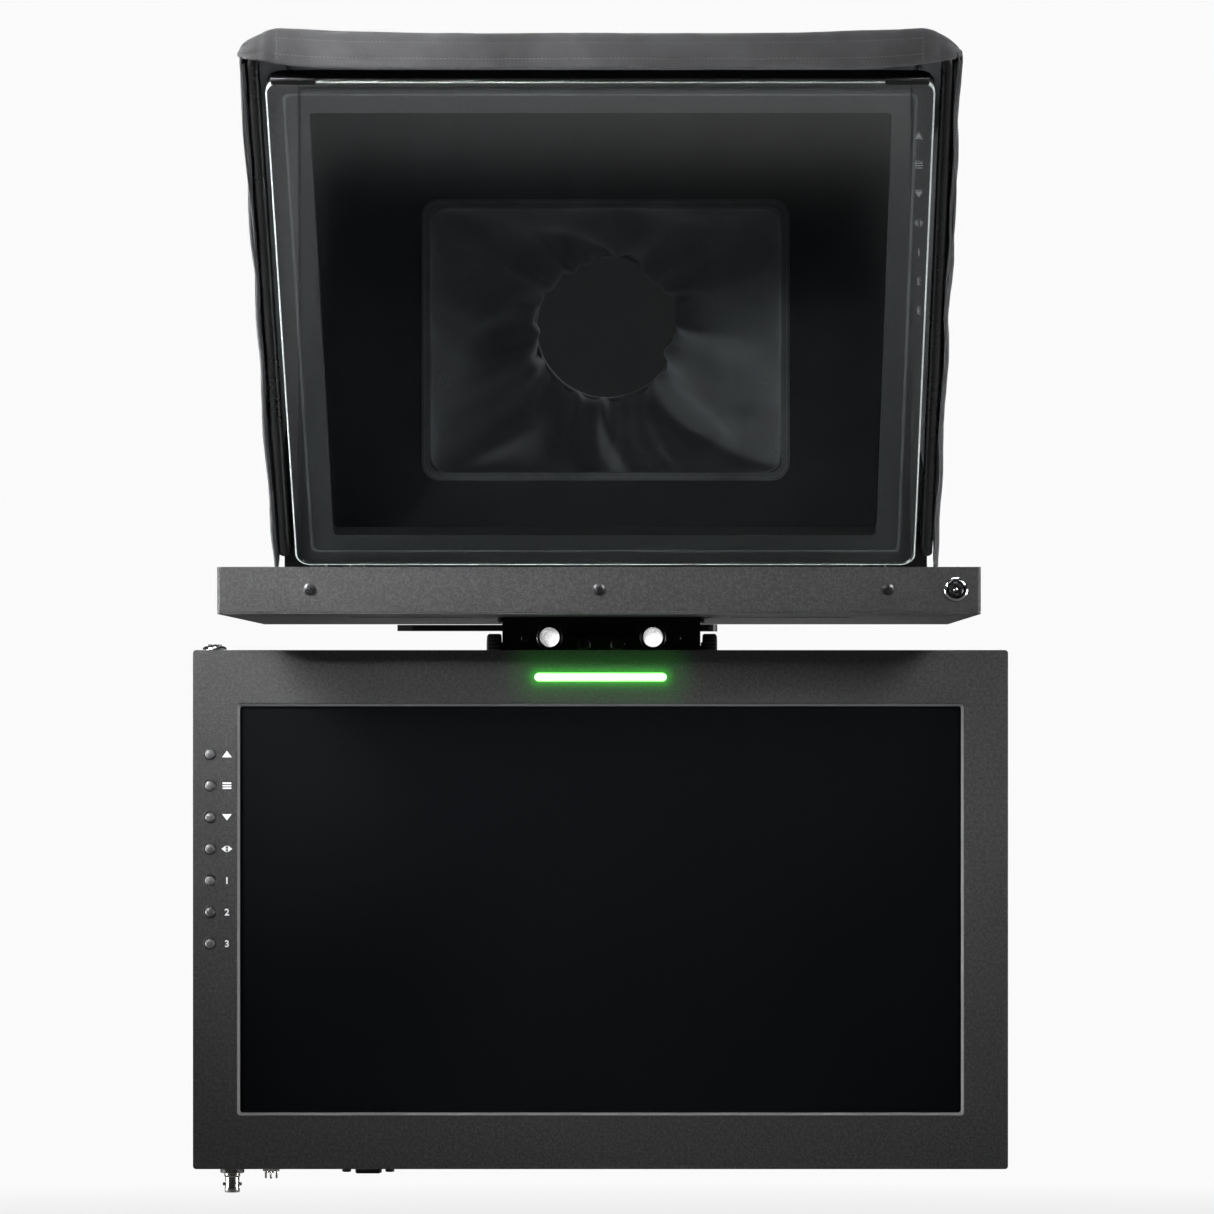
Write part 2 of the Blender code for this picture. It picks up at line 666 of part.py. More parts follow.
def build_base(base, screw_frame):
    half_width, half_length = BASE_WIDTH / 2, BASE_LENGTH / 2
    block = box((-half_width, -half_length, 0.0), (half_width, half_length, BASE_HEIGHT))
    slot = prism(rounded(10.4, 42.0, 5.2, 4, (0.0, 32.0)), -5.0, BASE_HEIGHT + 5.0)
    head_slot = prism(rounded(22.0, 53.0, 11.0, 4, (0.0, 32.0)), -5.0, 12.0)
    add("base_plate", block, "anodised", base,
        cuts=[rod_holes(-half_length - 5, half_length + 5), head_slot, slot])
    for label, side in (("left", -1), ("right", 1)):
        tube = turned([(ROD_RADIUS, 0.0), (ROD_RADIUS, ROD_LENGTH), (ROD_BORE, ROD_LENGTH),
                       (ROD_BORE, 0.0)], 24, ring=True)
        seat = along((0, 1, 0), (rod_axis(side), ROD_FRONT, ROD_HEIGHT))
        add(f"rod_{label}", moved(tube, seat), "anodised", base)
    screw = turned([(9.0, 3.0), (9.0, 11.7), (4.7, 11.7), (4.7, BASE_HEIGHT + 9.0)])
    add("camera_screw", moved(screw, Matrix.Translation((0, 32, 0))), "steel", screw_frame)


def build_carriage(head):
    """The block that rides on the rods, and the plate on which the prompter monitor stands."""
    half = CARRIAGE_WIDTH / 2
    back = CARRIAGE_FRONT + CARRIAGE_LENGTH
    block = box((-half, CARRIAGE_FRONT, CARRIAGE_BOTTOM), (half, back, CARRIAGE_TOP))
    boxes = together([
        box((rod_axis(side) - 10.0, CARRIAGE_FRONT - 3.0, 11.0),
            (rod_axis(side) + 10.0, CARRIAGE_FRONT + 8.0, 29.7))
        for side in (-1, 1)
    ])
    px, py = LEVER_PIVOT
    reach = half + STOP_REACH
    stop = prism(rounded(2 * STOP_REACH + 12.0, 16.0, 5.0, 3, (reach - STOP_REACH - 6.0, py)),
                 LEVER_BOTTOM, LEVER_TOP)
    pivot = moved(turned([(3.0, LEVER_BOTTOM - 3.0), (3.0, LEVER_TOP)]),
                  Matrix.Translation((px, py, 0)))
    lever_slot = box((-half - 5.0, py - 9.0, LEVER_BOTTOM - GAP),
                     (px + 8.6, back + 5.0, CARRIAGE_TOP + 5.0))
    knob_holes = together([
        moved(turned([(3.3, 41.0), (3.3, half + 5.0)], 12),
              along((side, 0, 0), (0, CLAMP_KNOB_Y, CLAMP_KNOB_HEIGHT)))
        for side in (-1, 1)
    ])
    bridge_relief = box((-19.0, CARRIAGE_FRONT - 5.0, 22.5),
                        (19.0, CARRIAGE_FRONT + 6.0, CARRIAGE_TOP + 5.0))
    rod_bores = rod_holes(CARRIAGE_FRONT - 10, back + 10)
    carriage = add("rod_carriage", block, "anodised", head, joins=[boxes, stop],
                   cuts=[rod_bores, lever_slot, knob_holes, bridge_relief])
    # The lever's pin is joined last, because the slot's cutter would take it away.
    apply_boolean(carriage, "UNION", pivot, head)
    plate_bottom = CARRIAGE_TOP + GAP
    plate = prism(rounded(120.0, 100.0, 2.0, 2, (0.0, -355.0)),
                  plate_bottom, plate_bottom + MOUNT_PLATE_THICKNESS)
    add("mounting_plate", plate, "anodised", head)


def build_clamps(head):
    half = CARRIAGE_WIDTH / 2
    px, py = LEVER_PIVOT
    hub = circle(7.5, 16, (px, py))
    blade = [(px, py - 5.5), (px, py + 5.5), (-112.0, py + 4.5), (-121.0, py + 1.5),
             (-121.0, py - 1.5), (-112.0, py - 4.0)]
    pin_hole = moved(turned([(3.3, 20.0), (3.3, 35.0)]), Matrix.Translation((px, py, 0)))
    add("clamp_lever", prism(blade, LEVER_BOTTOM + 0.2, LEVER_TOP - 0.2), "anodised", head,
        at=(px, py, LEVER_BOTTOM), joins=[prism(hub, LEVER_BOTTOM, LEVER_TOP)], cuts=[pin_hole])
    for label, side in (("left", -1), ("right", 1)):
        seat = (side * half, CLAMP_KNOB_Y, CLAMP_KNOB_HEIGHT)
        knob = turned([(3.0, -15.3), (3.0, 0.4), (5.0, 0.4), (5.0, 1.4), (9.0, 1.8), (10.0, 3.4),
                       (10.0, 8.6), (8.4, 10.2)])
        add(f"rod_clamp_knob_{label}", moved(knob, along((side, 0, 0), seat)), "black_plastic",
            head, at=seat)


# ---------------------------------------------------------------- beam splitter and hood


def glass_matrix():
    """Local X across, Y up the glass from the hinge, Z out of its front face, over the screen."""
    return (Matrix.Translation((0.0, *HINGE)) @ Matrix.Rotation(math.pi / 2, 4, "X")
            @ Matrix.Rotation(math.pi / 2 - GLASS_ANGLE, 4, "X"))


def build_glass(glass_frame):
    to_world = glass_matrix()
    middle = GLASS_START + GLASS_LENGTH / 2
    outer = rounded(GLASS_WIDTH, GLASS_LENGTH, GLASS_CORNER, 4, (0.0, middle))
    inner = rounded(GLASS_WIDTH - 2 * FRAME_RAIL, GLASS_LENGTH - 2 * FRAME_RAIL, 3.0, 2,
                    (0.0, middle))
    lugs, bores = [], []
    for side in (-1, 1):
        x0, x1 = sorted((side * 150.0, side * 158.0))
        arm_outline = rectangle(0.0, GLASS_START + 4.0, -4.0, FRAME_FACE - 0.4)
        arm = side_prism(arm_outline, x0, x1)
        eye = moved(turned([(4.7, x0), (4.7, x1)]), along((1, 0, 0)))
        lugs.append(arm)
        bores.append(eye)
    hole = moved(turned([(2.8, -170.0), (2.8, 170.0)]), along((1, 0, 0)))
    add("glass_frame", moved(prism(outer, FRAME_BACK, FRAME_FACE), to_world), "powder_coat",
        glass_frame, joins=[moved(together(lugs), to_world), moved(together(bores), to_world)],
        cuts=[moved(prism(inner, FRAME_BACK - 5, FRAME_FACE + 5), to_world), moved(hole, to_world)])
    sheet_back = FRAME_FACE + GAP
    sheet = prism(outer, sheet_back, sheet_back + GLASS_THICKNESS)
    add("beam_splitter_glass", moved(sheet, to_world), "glass", glass_frame)


def build_hinges(head):
    y, z = HINGE
    floor = PROMPTER_TOP + GAP
    for label, side in (("left", -1), ("right", 1)):
        (e0, e1), (b0, b1), (p0, p1) = [
            sorted((side * near, side * far))
            for near, far in ((158.6, 162.4), (150.0, 172.0), (147.0, 173.0))
        ]
        ear = box((e0, y - 5.0, floor), (e1, y + 6.0, z + 5.0))
        tongue = box((e0, y + 4.0, floor), (e1, y + 12.0, floor + 2.4))
        foot = box((b0, y + 7.0, floor), (b1, y + 25.0, floor + 2.4))
        pin = moved(turned([(2.5, p0), (2.5, p1)], 12), along((1, 0, 0), (0, y, z)))
        add(f"glass_hinge_{label}", ear, "anodised", head, joins=[tongue, foot, pin])


def arc_corner(centre, radius, start, steps=4):
    """Points on a quarter turn in a plane, counted from a start angle in quarter turns."""
    angles = [math.pi / 2 * (start + step / steps) for step in range(steps + 1)]
    return [(centre[0] + radius * math.cos(a), centre[1] + radius * math.sin(a)) for a in angles]


def build_bow(glass_frame):
    """A bent tube round the glass frame that holds the hood's front edge."""
    to_world = glass_matrix()
    radius = 14.0
    foot_u, depth = 19.0, -2.0
    path = [(GLASS_WIDTH / 2 + GAP + 0.2, foot_u), (BOW_X - 1.0, foot_u), (BOW_X, foot_u + 1.0)]
    path += arc_corner((BOW_X - radius, BOW_END - radius), radius, 0)
    path += [(-x, u) for x, u in reversed(path)]
    curve = bpy.data.curves.new("hood_front_bow", "CURVE")
    curve.dimensions = "3D"
    curve.bevel_depth = BOW_RADIUS * MM
    curve.bevel_resolution = 2
    curve.use_fill_caps = True
    spline = curve.splines.new("POLY")
    spline.points.add(len(path) - 1)
    origin = Vector(glass_frame["at"])
    for point, (x, u) in zip(spline.points, path):
        point.co = (*((to_world @ Vector((x, u, depth)) - origin) * MM), 1.0)
    curve.materials.append(SLOTS["anodised"])
    bow = bpy.data.objects.new("hood_front_bow", curve)
    bpy.context.collection.objects.link(bow)
    bow.parent = glass_frame


def build_rear_panel(hood_frame):
    y, z = HINGE
    low_y, high_y = PANEL_Y
    panel = box((-PANEL_HALF_WIDTH, low_y, PANEL_Z[0]), (PANEL_HALF_WIDTH, high_y, PANEL_Z[1]))
    arms, eyes = [], []
    for side in (-1, 1):
        x0, x1 = sorted((side * 163.2, side * 171.0))
        arms.append(box((x0, y, z - 1.3), (x1, high_y - 0.5, z + 7.7)))
        eyes.append(moved(turned([(4.7, x0), (4.7, x1)]), along((1, 0, 0), (0, y, z))))
    pins = moved(turned([(2.8, -180.0), (2.8, 180.0)]), along((1, 0, 0), (0, y, z)))
    wide, high = APERTURE
    opening = moved(prism(rounded(2 * wide, 2 * high, 8.0, 3), -20.0, 20.0),
                    Matrix.Translation((0, low_y, APERTURE_Z))
                    @ Matrix.Rotation(math.radians(90), 4, "X"))
    add("hood_rear_panel", panel, "black_plastic", hood_frame,
        joins=[together(arms), together(eyes)], cuts=[opening, pins])


def sleeve_section(half_width, half_height, centre_z, squareness, y):
    """One ring of the sleeve, between a round-cornered rectangle and a circle."""
    points = []
    for step in range(SLEEVE_SIDES):
        angle = 2 * math.pi * (step + 0.5) / SLEEVE_SIDES
        c, s = math.cos(angle), math.sin(angle)
        x = math.copysign(abs(c) ** (2 / squareness), c) * half_width
        z = math.copysign(abs(s) ** (2 / squareness), s) * half_height
        points.append((x, y, centre_z + z))
    return points


def build_sleeve(hood_frame):
    """The cloth sleeve from the rear panel's aperture to the lens, open at both ends."""
    start = PANEL_Y[1] + GAP
    wide, high = APERTURE
    rings = ((wide + 6.0, high + 6.0, APERTURE_Z, 6.0, start),
             (90.0, 76.0, 215.0, 3.5, start + 27.0),
             (60.0, 60.0, LENS_Z, 2.0, SLEEVE_END))
    outside = [sleeve_section(*ring) for ring in rings]
    inside = [sleeve_section(w - HOOD_WALL, h - HOOD_WALL, z, s, y) for w, h, z, s, y in reversed(rings)]
    add("lens_sleeve", loft(outside + inside, ring=True), "fabric", hood_frame)


def build_hood(glass_frame):
    """The cloth over both bows: two sides, a top and the band across its front."""
    y, z = HINGE
    edge = 3.0  # how far the side's front edge stands proud of the hinge plane

    def on_edge(u):
        return (y - u * math.cos(GLASS_ANGLE) - edge * math.sin(GLASS_ANGLE),
                z + u * math.sin(GLASS_ANGLE) - edge * math.cos(GLASS_ANGLE))

    band_bottom = HOOD_TOP - BAND_HEIGHT
    u_top = (band_bottom - z + edge * math.cos(GLASS_ANGLE)) / math.sin(GLASS_ANGLE)
    outline = [on_edge(8.0), on_edge(u_top), (HOOD_FRONT, band_bottom), (HOOD_FRONT, HOOD_TOP),
               (HOOD_REAR, HOOD_TOP), (HOOD_REAR, z - 2.8), (y - 4.0, z - 2.8)]
    shell = side_prism(outline, -HOOD_HALF_WIDTH, HOOD_HALF_WIDTH)
    inside = box((-HOOD_HALF_WIDTH + HOOD_WALL, HOOD_FRONT + 1.7, 0.0),
                 (HOOD_HALF_WIDTH - HOOD_WALL, 0.0, HOOD_TOP - HOOD_WALL))
    add("hood_fabric", shell, "fabric", glass_frame, cuts=[inside])


# ---------------------------------------------------------------- the whole object


def build():
    base = make_empty("base", (0, 0, 0))
    screw_frame = make_empty("camera_screw_slide", (0, 32, 0), base)
    head = make_empty("head_slide", (0, CARRIAGE_FRONT, ROD_HEIGHT), base)
    tilt_frame = make_empty("talent_tilt", (0, *TILT_PIVOT), head)
    height_frame = make_empty("talent_height", (0, TILT_PIVOT[0], TALENT_TOP - TALENT_HEIGHT / 2), tilt_frame)
    glass_frame = make_empty("glass_fold", (0, *HINGE), head)
    hood_frame = make_empty("hood_fold", (0, *HINGE), glass_frame)
    build_base(base, screw_frame)
    build_carriage(head)
    build_clamps(head)
    build_prompter_monitor(head)
    build_talent_mount(head, tilt_frame, height_frame)
    build_talent_monitor(height_frame)
    build_glass(glass_frame)
    build_hinges(head)
    build_bow(glass_frame)
    build_hood(glass_frame)
    build_rear_panel(hood_frame)
    build_sleeve(hood_frame)


clear_scene()
SLOTS = {name: make_material(name) for name in MATERIALS}
build()
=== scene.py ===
"""Looks for the studio teleprompter: cloth, small parts, materials, lights and camera.

Sizes are written in millimetres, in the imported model's frame, and are scaled by MM when a mesh
is made. The talent stands on the -Y side, and the camera that it carries looks out from +Y
through the cloth sleeve, the hood and the beam-splitter glass.
"""

import json
import math

import bmesh
import bpy
from mathutils import Matrix, Vector, noise


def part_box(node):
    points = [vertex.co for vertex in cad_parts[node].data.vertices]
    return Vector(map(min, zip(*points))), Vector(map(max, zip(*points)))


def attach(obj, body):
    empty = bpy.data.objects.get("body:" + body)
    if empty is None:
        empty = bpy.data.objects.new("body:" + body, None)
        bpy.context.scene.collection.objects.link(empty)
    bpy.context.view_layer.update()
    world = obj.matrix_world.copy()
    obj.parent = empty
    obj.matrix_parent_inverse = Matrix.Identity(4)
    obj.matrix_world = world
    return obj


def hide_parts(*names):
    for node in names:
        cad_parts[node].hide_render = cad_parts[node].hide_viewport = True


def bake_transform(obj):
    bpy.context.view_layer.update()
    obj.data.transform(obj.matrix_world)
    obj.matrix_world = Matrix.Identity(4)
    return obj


MM = 0.001
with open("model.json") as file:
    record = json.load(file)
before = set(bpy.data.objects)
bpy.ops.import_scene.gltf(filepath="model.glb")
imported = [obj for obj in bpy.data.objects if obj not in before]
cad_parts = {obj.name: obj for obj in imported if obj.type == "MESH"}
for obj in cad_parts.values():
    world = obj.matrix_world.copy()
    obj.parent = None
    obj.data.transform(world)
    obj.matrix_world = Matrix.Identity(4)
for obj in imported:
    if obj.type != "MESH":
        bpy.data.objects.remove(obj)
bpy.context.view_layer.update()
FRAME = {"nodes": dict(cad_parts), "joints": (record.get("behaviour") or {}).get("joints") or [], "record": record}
BUTTON_NAMES = ("up", "menu", "down", "flip", "input_1", "input_2", "input_3")

# ---------------------------------------------------------------- places from the frame


def node_box(node):
    """Lowest and highest corner of a CAD node, in millimetres."""
    low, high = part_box(node)
    return low / MM, high / MM


def node_centre(node):
    low, high = node_box(node)
    return (low + high) / 2


def joint_point(name):
    place = next(joint for joint in FRAME["joints"] if joint["name"] == name)["pos_m"]
    return Vector(place) / MM


HINGE = joint_point("glass_fold")
HOOD_LOW, HOOD_HIGH = node_box("hood_fabric")
PANEL_LOW, PANEL_HIGH = node_box("hood_rear_panel")
SLEEVE_LOW, SLEEVE_HIGH = node_box("lens_sleeve")
TALENT_LOW, TALENT_HIGH = node_box("talent_front_bezel")
PROMPTER_LOW, PROMPTER_HIGH = node_box("prompter_front_bezel")
TALLY_LOW, TALLY_HIGH = node_box("tally_lens")

GLASS_LEAN = math.radians(45.0)
EDGE_PROUD = 3.0  # the hood's front edge stands this far in front of the hinge's leaning plane
SEAM_X = 189.0  # the hood's two corner seams, from its middle
BAND_CORNER = 16.0  # radius of the front band round the hood's corners
BAND_TAIL = 12.0  # how far the front band runs on past each corner
SIDE_TUCK = 24.0  # how far back the sides' front edges are set at the hinge, to fold clear
TUCK_HEIGHT = 190.0  # and how far above the hinge that eases out
APERTURE_WIDE, APERTURE_HIGH, APERTURE_Z = 220.0, 166.0, 211.0  # the rear board's opening
MOUTH_RADIUS, MOUTH_Z = 46.0, 224.0  # the lens sleeve's elastic mouth
PRINT_DEEP = 0.08  # half the thickness of a printed sign
WORLD_LIGHT = 0.014  # the room's light on the object
BACKDROP = 0.96  # brightness of the background that the camera sees

# ---------------------------------------------------------------- outlines and solids


def circle(radius, sides, centre=(0.0, 0.0)):
    turns = [2 * math.pi * i / sides for i in range(sides)]
    return [(centre[0] + radius * math.cos(a), centre[1] + radius * math.sin(a)) for a in turns]


def rounded(width, height, radius, steps=6, centre=(0.0, 0.0)):
    """A rectangle with round corners, each of steps + 1 points."""
    points = []
    for corner, (sx, sy) in enumerate(((1, 1), (-1, 1), (-1, -1), (1, -1))):
        cx = centre[0] + sx * (width / 2 - radius)
        cy = centre[1] + sy * (height / 2 - radius)
        for step in range(steps + 1):
            angle = math.pi / 2 * (corner + step / steps)
            points.append((cx + radius * math.cos(angle), cy + radius * math.sin(angle)))
    return points


def lift(outline, z):
    return [(x, y, z) for x, y in outline]


def loft(sections, ring=False, caps=True):
    """A skin through outlines of equal length, capped at its ends or joined in a ring."""
    solid = bmesh.new()
    rows = [[solid.verts.new(point) for point in section] for section in sections]
    pairs = list(zip(rows, rows[1:]))
    if ring:
        pairs.append((rows[-1], rows[0]))
    for low, high in pairs:
        for i in range(len(low)):
            j = (i + 1) % len(low)
            solid.faces.new((low[i], low[j], high[j], high[i]))
    if caps and not ring:
        solid.faces.new(rows[0][::-1])
        solid.faces.new(rows[-1])
    bmesh.ops.recalc_face_normals(solid, faces=solid.faces)
    return solid


def prism(outline, z0, z1):
    return loft([lift(outline, z0), lift(outline, z1)])


def box(low, high):
    corners = [(low[0], low[1]), (high[0], low[1]), (high[0], high[1]), (low[0], high[1])]
    return prism(corners, low[2], high[2])


def turned(profile, sides=32, ring=False):
    """A turned solid about local +Z, from (radius, height) stations."""
    return loft([lift(circle(radius, sides), height) for radius, height in profile], ring)


def shaped(profile, outline, ring=False):
    """As turned, but each station scales a unit outline: a knob's lobes or a nut's flats."""
    return loft([[(x * radius, y * radius, height) for x, y in outline]
                 for radius, height in profile], ring)


def ribbed(count, depth, fine=4):
    """A unit circle with count ribs, each depth of the radius high."""
    sides = count * fine
    radii = [1.0 - depth * (0.5 - 0.5 * math.cos(2 * math.pi * count * i / sides))
             for i in range(sides)]
    return [(r * math.cos(2 * math.pi * i / sides), r * math.sin(2 * math.pi * i / sides))
            for i, r in enumerate(radii)]


def moved(solid, matrix):
    bmesh.ops.transform(solid, matrix=matrix, verts=solid.verts)
    return solid


def shift(x, y, z):
    return Matrix.Translation((x, y, z))


def along(axis, at=(0.0, 0.0, 0.0)):
    """The matrix that stands local +Z along an axis, at a point."""
    turn = Vector((0, 0, 1)).rotation_difference(Vector(axis)).to_matrix().to_4x4()
    return Matrix.Translation(at) @ turn


def together(solids):
    whole = bmesh.new()
    for solid in solids:
        mesh = bpy.data.meshes.new("part of a piece")
        solid.to_mesh(mesh)
        whole.from_mesh(mesh)
        bpy.data.meshes.remove(mesh)
        solid.free()
    return whole


def net(rows, ring=False):
    """A sheet of quads through rows of points. With ring, each row closes on itself."""
    sheet = bmesh.new()
    lines = [[sheet.verts.new(point) for point in row] for row in rows]
    for low, high in zip(lines, lines[1:]):
        for i in range(len(low) if ring else len(low) - 1):
            j = (i + 1) % len(low)
            sheet.faces.new((low[i], low[j], high[j], high[i]))
    bmesh.ops.recalc_face_normals(sheet, faces=sheet.faces)
    return sheet


# ---------------------------------------------------------------- pieces


def as_object(name, solid, material, smooth_angle=35.0):
    moved(solid, Matrix.Scale(MM, 4))
    mesh = bpy.data.meshes.new(name)
    solid.to_mesh(mesh)
    solid.free()
    mesh.shade_smooth()
    mesh.set_sharp_from_angle(angle=math.radians(smooth_angle))
    mesh.materials.append(material)
    obj = bpy.data.objects.new(name, mesh)
    bpy.context.collection.objects.link(obj)
    return obj


def add(name, solid, material, body, replaces=(), bevel=0.0):
    """A rigid piece that rides on a body."""
    obj = as_object(name, solid, LOOKS[material])
    if bevel:
        soften(obj, bevel)
    if replaces:
        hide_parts(*replaces)
    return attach(obj, body)


def soften(obj, width, segments=2):
    """Breaks an object's sharp edges by a width in millimetres."""
    step = obj.modifiers.new("softened edges", "BEVEL")
    step.width = width * MM
    step.segments = segments
    step.limit_method = "ANGLE"
    step.angle_limit = math.radians(32)


def cloth(name, sheet, material, thickness,
          body=None, between=None, replaces=()):
    """A sheet of cloth with its flat size in millimetres. between = (body, body, start, end) is read only for
    whether it is given; its entries are not used, and the sheet then rides on no body.
    """
    obj = as_object(name, sheet, LOOKS[material], 80.0)
    finer = obj.modifiers.new("finer", "SUBSURF")
    finer.levels = finer.render_levels = 1
    wall = obj.modifiers.new("cloth thickness", "SOLIDIFY")
    wall.thickness = thickness * MM
    wall.offset = 0.0
    if between:
        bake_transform(obj)
    else:
        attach(obj, body)
    if replaces:
        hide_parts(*replaces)


def ripple(point, size, seed):
    """Smooth noise from -1 to 1 that changes over about size millimetres."""
    return noise.noise(Vector(point) / size + Vector((seed, 1.7 * seed, -seed)))


def ease(value):
    value = max(0.0, min(1.0, value))
    return value * value * (3.0 - 2.0 * value)


def stitches(path, out, pitch=2.3, length=1.55, thick=0.42):
    """Thread along a path of points: one small rounded bar per stitch, half sunk in the cloth."""
    bars = []
    spent, due = 0.0, pitch / 2
    for here, there in zip(path, path[1:]):
        step = (there - here).length
        while step and due <= spent + step:
            at = here.lerp(there, (due - spent) / step)
            run = (there - here).normalized()
            side = run.cross(out).normalized()
            up = side.cross(run).normalized()
            turn = Matrix((side, up, run)).transposed().to_4x4()
            bar = turned([(0.12 * thick, -0.5 * length), (0.5 * thick, -0.3 * length),
                          (0.5 * thick, 0.3 * length), (0.12 * thick, 0.5 * length)], 6)
            bars.append(moved(bar, Matrix.Translation(at) @ turn))
            due += pitch
        spent += step
    return together(bars)


# ---------------------------------------------------------------- materials


class Graph:
    """One material's node tree. A link is given where an input takes another node's output."""

    def __init__(self, name, **values):
        self.material = bpy.data.materials.new(name)
        self.material.use_nodes = True
        self.tree = self.material.node_tree
        self.shader = self.tree.nodes["Principled BSDF"]
        self.place = self.node("TexCoord").outputs["Object"]
        for key, value in values.items():
            self.set(self.shader, key.replace("_", " ").title().replace("Ior", "IOR"), value)

    def set(self, node, key, value):
        if isinstance(value, bpy.types.NodeSocket):
            self.tree.links.new(value, node.inputs[key])
        elif isinstance(value, tuple) and len(value) == 3 and node.inputs[key].type == "RGBA":
            node.inputs[key].default_value = (*value, 1.0)
        else:
            node.inputs[key].default_value = value

    def node(self, kind, settings=None, **inputs):
        made = self.tree.nodes.new("ShaderNode" + kind)
        for key, value in (settings or {}).items():
            setattr(made, key, value)
        for key, value in inputs.items():
            self.set(made, key.replace("_", " "), value)
        return made

    def noise(self, scale, detail=2.0, roughness=0.5, stretch=None):
        place = self.place
        if stretch:
            place = self.node("Mapping", Vector=place, Scale=stretch).outputs["Vector"]
        return self.node("TexNoise", Vector=place, Scale=scale, Detail=detail,
                         Roughness=roughness).outputs["Fac"]

    def span(self, value, low, high, to_low=0.0, to_high=1.0):
        """value from low to high, mapped and held to to_low to to_high."""
        made = self.node("MapRange", Value=value, From_Min=low, From_Max=high,
                         To_Min=to_low, To_Max=to_high)
        return made.outputs["Result"]

    def mix(self, share, first, second):
        made = self.node("Mix", {"data_type": "RGBA"})
        self.set(made, "Factor", share)
        for index, value in ((6, first), (7, second)):
            if isinstance(value, bpy.types.NodeSocket):
                self.tree.links.new(value, made.inputs[index])
            else:
                made.inputs[index].default_value = (*value, 1.0)
        return made.outputs[2]

    def maths(self, operation, first, second=0.0):
        made = self.node("Math", {"operation": operation})
        for index, value in ((0, first), (1, second)):
            if isinstance(value, bpy.types.NodeSocket):
                self.tree.links.new(value, made.inputs[index])
            else:
                made.inputs[index].default_value = value
        return made.outputs["Value"]

    def times(self, first, second):
        return self.maths("MULTIPLY", first, second)

    def plus(self, first, second):
        return self.maths("ADD", first, second)

    def length(self, first, second):
        return self.maths("SQRT", self.plus(self.times(first, first), self.times(second, second)))

    def parts(self):
        return self.node("SeparateXYZ", Vector=self.place).outputs

    def tint(self, value, low, high, first, second):
        """Base colour from first to second, as value goes from low to high."""
        self.put("Base Color", self.mix(self.span(value, low, high), first, second))

    def rough(self, value, low, high, to_low, to_high):
        self.put("Roughness", self.span(value, low, high, to_low, to_high))

    def mix_shaders(self, share, first, second):
        made = self.node("MixShader")
        for index, output in enumerate((share, first, second)):
            self.tree.links.new(output, made.inputs[index])
        return made.outputs[0]

    def show(self, output):
        target = self.tree.nodes["Material Output"].inputs["Surface"]
        self.tree.links.new(output, target)

    def bump(self, height, strength, distance):
        made = self.node("Bump", Strength=strength, Distance=distance, Height=height)
        self.set(self.shader, "Normal", made.outputs["Normal"])

    def put(self, key, value):
        self.set(self.shader, key, value)


def powder_coat(name, dark, light, grain=1500.0, tally_glow=False):
    """Textured powder coat: fine raised grains, with a painted highlight that makes each grain's colour lighter
    where it rises and would catch a little light.
    """
    graph = Graph(name)
    fine = graph.noise(grain, 3.0, 0.65)
    coarse = graph.noise(grain * 0.35, 2.0, 0.5)
    grains = graph.plus(graph.times(fine, 0.7), graph.times(coarse, 0.3))
    # painted highlight: the coat's colour goes from dark to light as the grains rise
    coat = graph.mix(graph.span(grains, 0.45, 0.60), dark, light)
    graph.put("Base Color", coat)
    graph.rough(grains, 0.35, 0.65, 0.58, 0.42)
    graph.bump(grains, 0.55, 0.0005)
    if tally_glow:
        add_tally_glow(graph)
        # painted highlight: a lighter colour on the coat behind its front face, inside the window's edge, so the
        # window's chamfer looks lit
        parts = graph.parts()
        middle = (TALENT_LOW.z + TALENT_HIGH.z) / 2 * MM
        behind = graph.span(parts["Y"], (TALENT_LOW.y + 0.15) * MM, (TALENT_LOW.y + 0.4) * MM)
        inside_x = graph.span(graph.maths("ABSOLUTE", parts["X"]), 0.214, 0.215, 1.0, 0.0)
        height = graph.maths("ABSOLUTE", graph.maths("SUBTRACT", parts["Z"], middle))
        inside_z = graph.span(height, 0.125, 0.126, 1.0, 0.0)
        wear_and_painted_highlight = graph.times(behind, graph.times(inside_x, inside_z))
        graph.put("Base Color", graph.mix(wear_and_painted_highlight, coat, (0.16, 0.16, 0.165)))
    return graph.material


def add_tally_glow(graph):
    """Green light that the tally bar spills on the coat round it, fading with distance."""
    half = (TALLY_HIGH.x - TALLY_LOW.x) / 2 - 4.0
    middle_z = (TALLY_HIGH.z + TALLY_LOW.z) / 2
    parts = graph.parts()
    past_end = graph.maths("SUBTRACT", graph.maths("ABSOLUTE", parts["X"]), half * MM)
    dx = graph.maths("MAXIMUM", past_end, 0.0)
    dz = graph.maths("SUBTRACT", parts["Z"], middle_z * MM)
    distance = graph.length(dx, dz)
    near = graph.maths("POWER", graph.span(distance, 2.0 * MM, 9.0 * MM, 1.0, 0.0), 2.2)
    wide = graph.maths("POWER", graph.span(distance, 2.0 * MM, 26.0 * MM, 1.0, 0.0), 2.0)
    light = graph.plus(graph.times(near, 0.30), graph.times(wide, 0.085))
    front = graph.span(parts["Y"], (TALENT_LOW.y + 0.6) * MM, (TALENT_LOW.y + 0.3) * MM)
    grain = graph.span(graph.noise(1400.0, 2.0), 0.3, 0.7, 0.75, 1.25)
    graph.put("Emission Color", (0.06, 1.0, 0.035))
    graph.put("Emission Strength", graph.times(graph.times(light, front), grain))


